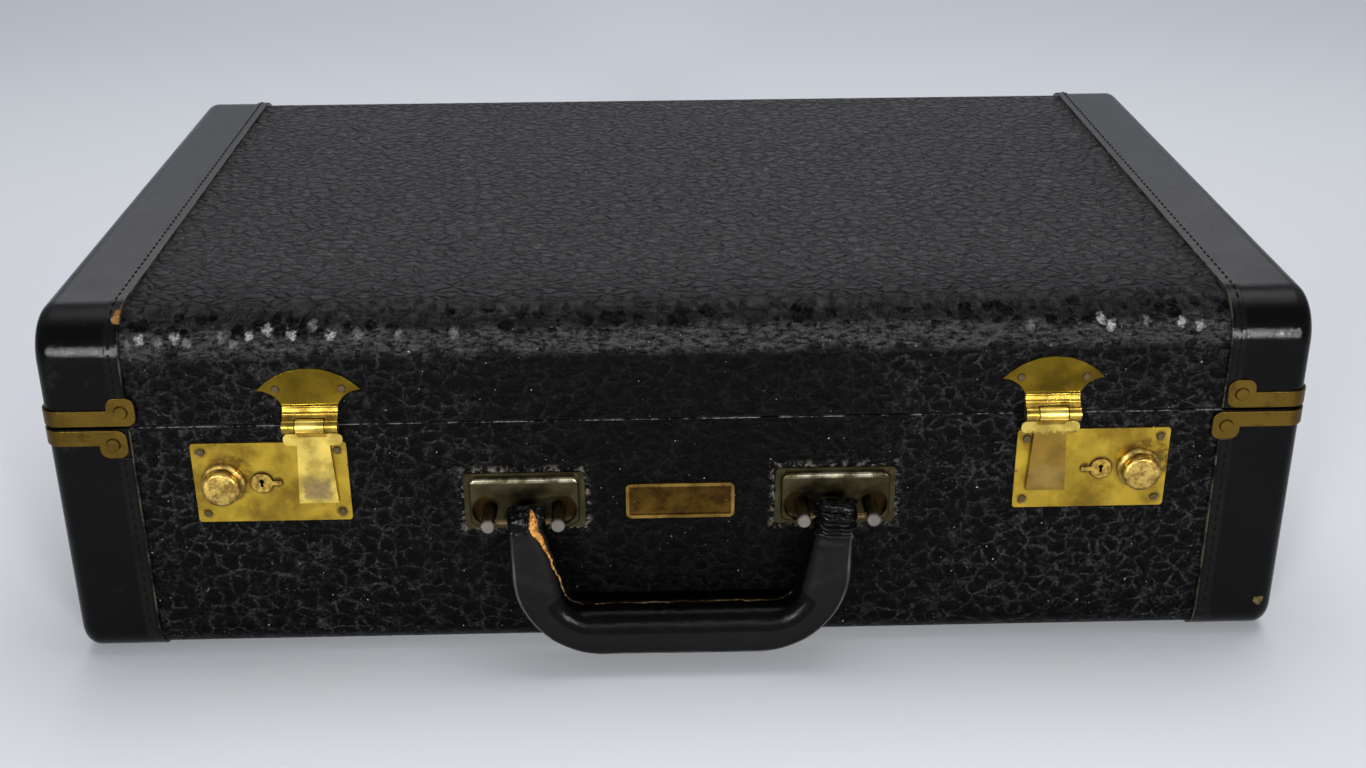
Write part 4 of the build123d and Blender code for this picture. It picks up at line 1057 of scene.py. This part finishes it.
work = bmesh.new()
hem_x = pocket_wide / 2 - 0.001
hem_ring = bmesh.ops.create_circle(work, segments=12, radius=1.0)["verts"]
hem_half_thick = 0.0012
hem_place = Matrix(
    (
        (0, 0, 1, -hem_x),
        (hem_deep / 2, 0, 0, pocket_low.y + hem_deep / 2),
        (0, hem_half_thick, 0, pocket_middle.z - 0.0002),
        (0, 0, 0, 1),
    )
)
bmesh.ops.transform(work, matrix=hem_place, verts=hem_ring)
hem_edges = work.edges[:]
hem_steps = pocket_folds * 6
for step in range(hem_steps):
    hem_ring, hem_edges = next_ring(work, hem_edges)
    bmesh.ops.translate(work, verts=hem_ring, vec=(2 * hem_x / hem_steps, 0, 0))
bmesh.ops.edgeloop_fill(work, edges=[edge for edge in work.edges if edge.is_boundary])
for vert in work.verts:
    turn = 2 * math.pi * pocket_folds * vert.co.x / pocket_wide
    pucker = 0.0008 * math.sin(turn + 1.4 * noise.noise(Vector((vert.co.x * 40, 0, 7))))
    vert.co.z += pucker + 0.0003 * noise.noise(vert.co * 500)
    vert.co.y += 0.0004 * noise.noise(vert.co * 160)
bmesh.ops.recalc_face_normals(work, faces=work.faces[:])
pocket_hem = bpy.data.objects.new("pocket_hem", smooth_mesh(work, "pocket_hem"))
lining.dress(pocket_cloth, pocket_hem)
pocket_body = nodes["lid_pocket"]["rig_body"]
shown(pocket_cloth, pocket_body, slots["lid_pocket"], "lid_pocket")
shown(pocket_hem, pocket_body, slots["lid_pocket"])

# Floor and backdrop.
# One sheet of pale paper, which lies under the case and curves up behind it. It is painted darker
# towards the back, as shade.
floor_side = 6.0
floor_front = -9.0
curve_from = 1.2
curve_radius = 1.2
curve_steps = 12
wall_top = 4.0
sweep = bmesh.new()
profile = [(floor_front, 0.0), (curve_from, 0.0)]
for step in range(1, curve_steps + 1):
    turn = math.pi / 2 * step / curve_steps
    profile.append((curve_from + curve_radius * math.sin(turn), curve_radius * (1 - math.cos(turn))))
profile.append((curve_from + curve_radius, wall_top))
near_row = [sweep.verts.new((-floor_side, y, z)) for y, z in profile]
for first, second in zip(near_row, near_row[1:]):
    sweep.edges.new((first, second))
far_row = next_ring(sweep, sweep.edges[:])[0]
bmesh.ops.translate(sweep, verts=far_row, vec=(2 * floor_side, 0, 0))
bmesh.ops.recalc_face_normals(sweep, faces=sweep.faces[:])
floor = bpy.data.objects.new("floor", smooth_mesh(sweep, "floor"))
scene.collection.objects.link(floor)
paper = Finish("pale_paper", roughness=0.8, specular=0.2)
paper_tone = paper.blend(paper.noise(1.2, 2), (0.66, 0.68, 0.71), (0.70, 0.72, 0.75))
# Painted shade: the paper darkens towards the back.
paper_far_shade = paper.rise(paper.y, 0.35, 1.3)
paper.set("Base Color", paper.blend(paper_far_shade, paper_tone, (0.50, 0.52, 0.57)))
paper.dress(floor)

# Light.
# A pale room with five soft boxes: a wide one overhead, a long low one in front with a shorter one on
# each side of it, and one at the back. Grids on the three in front keep them off the floor and walls.
world = bpy.data.worlds.new("room")
world.use_nodes = True
room = world.node_tree.nodes["Background"]
room.inputs["Color"].default_value = (0.86, 0.90, 0.96, 1.0)
room.inputs["Strength"].default_value = 0.30
scene.world = world


def soft_box(name, place, aim, size, power, spread=180):
    """Rectangular lamp at a place, turned to face aim, with a grid that keeps it to a spread."""
    lamp = bpy.data.lights.new(name, "AREA")
    lamp.shape = "RECTANGLE"
    lamp.size, lamp.size_y = size
    lamp.energy = power
    lamp.spread = math.radians(spread)
    box = bpy.data.objects.new(name, lamp)
    scene.collection.objects.link(box)
    facing = (Vector(aim) - Vector(place)).to_track_quat("-Z", "Y").to_matrix().to_4x4()
    box.matrix_world = Matrix.Translation(place) @ facing


box_front = -2.6
box_height = 0.50
box_aside = 1.22
front_aim = (0, 0, 0.12)
grid = 36
soft_box("front_box", (0.0, box_front, box_height), front_aim, (1.7, 0.16), 0.55, grid)
for side in (-1, 1):
    soft_box("side_box", (box_aside * side, box_front, box_height), front_aim, (0.50, 0.26), 2.6, grid)
soft_box("top_box", (0.2, 0.6, 2.8), (0, 0, 0), (2.4, 1.9), 52)
soft_box("back_box", (0.0, 2.1, 1.25), (0, 0, 0.15), (2.6, 0.5), 7)

# Camera.
# It stands where the photograph's camera stood: above the front, a little left of the middle and
# pitched down, so that the front and the top both show.
camera_data = bpy.data.cameras.new("camera")
camera_data.sensor_width = 36.0
camera_data.lens = 44.95
camera = bpy.data.objects.new("camera", camera_data)
scene.collection.objects.link(camera)
camera_place = (-0.0143, -0.792, 0.415)
pitch, yaw, roll = (math.radians(angle) for angle in (24.62, 1.43, 0.35))
ahead = Vector((math.sin(yaw) * math.cos(pitch), math.cos(yaw) * math.cos(pitch), -math.sin(pitch)))
level = Vector((math.cos(yaw), -math.sin(yaw), 0))
down = ahead.cross(level)
right = math.cos(roll) * level + math.sin(roll) * down
lower = math.cos(roll) * down - math.sin(roll) * level
facing = Matrix((right, -lower, -ahead)).transposed().to_4x4()
camera.matrix_world = Matrix.Translation(camera_place) @ facing
scene.camera = camera
scene.view_settings.view_transform = "Standard"
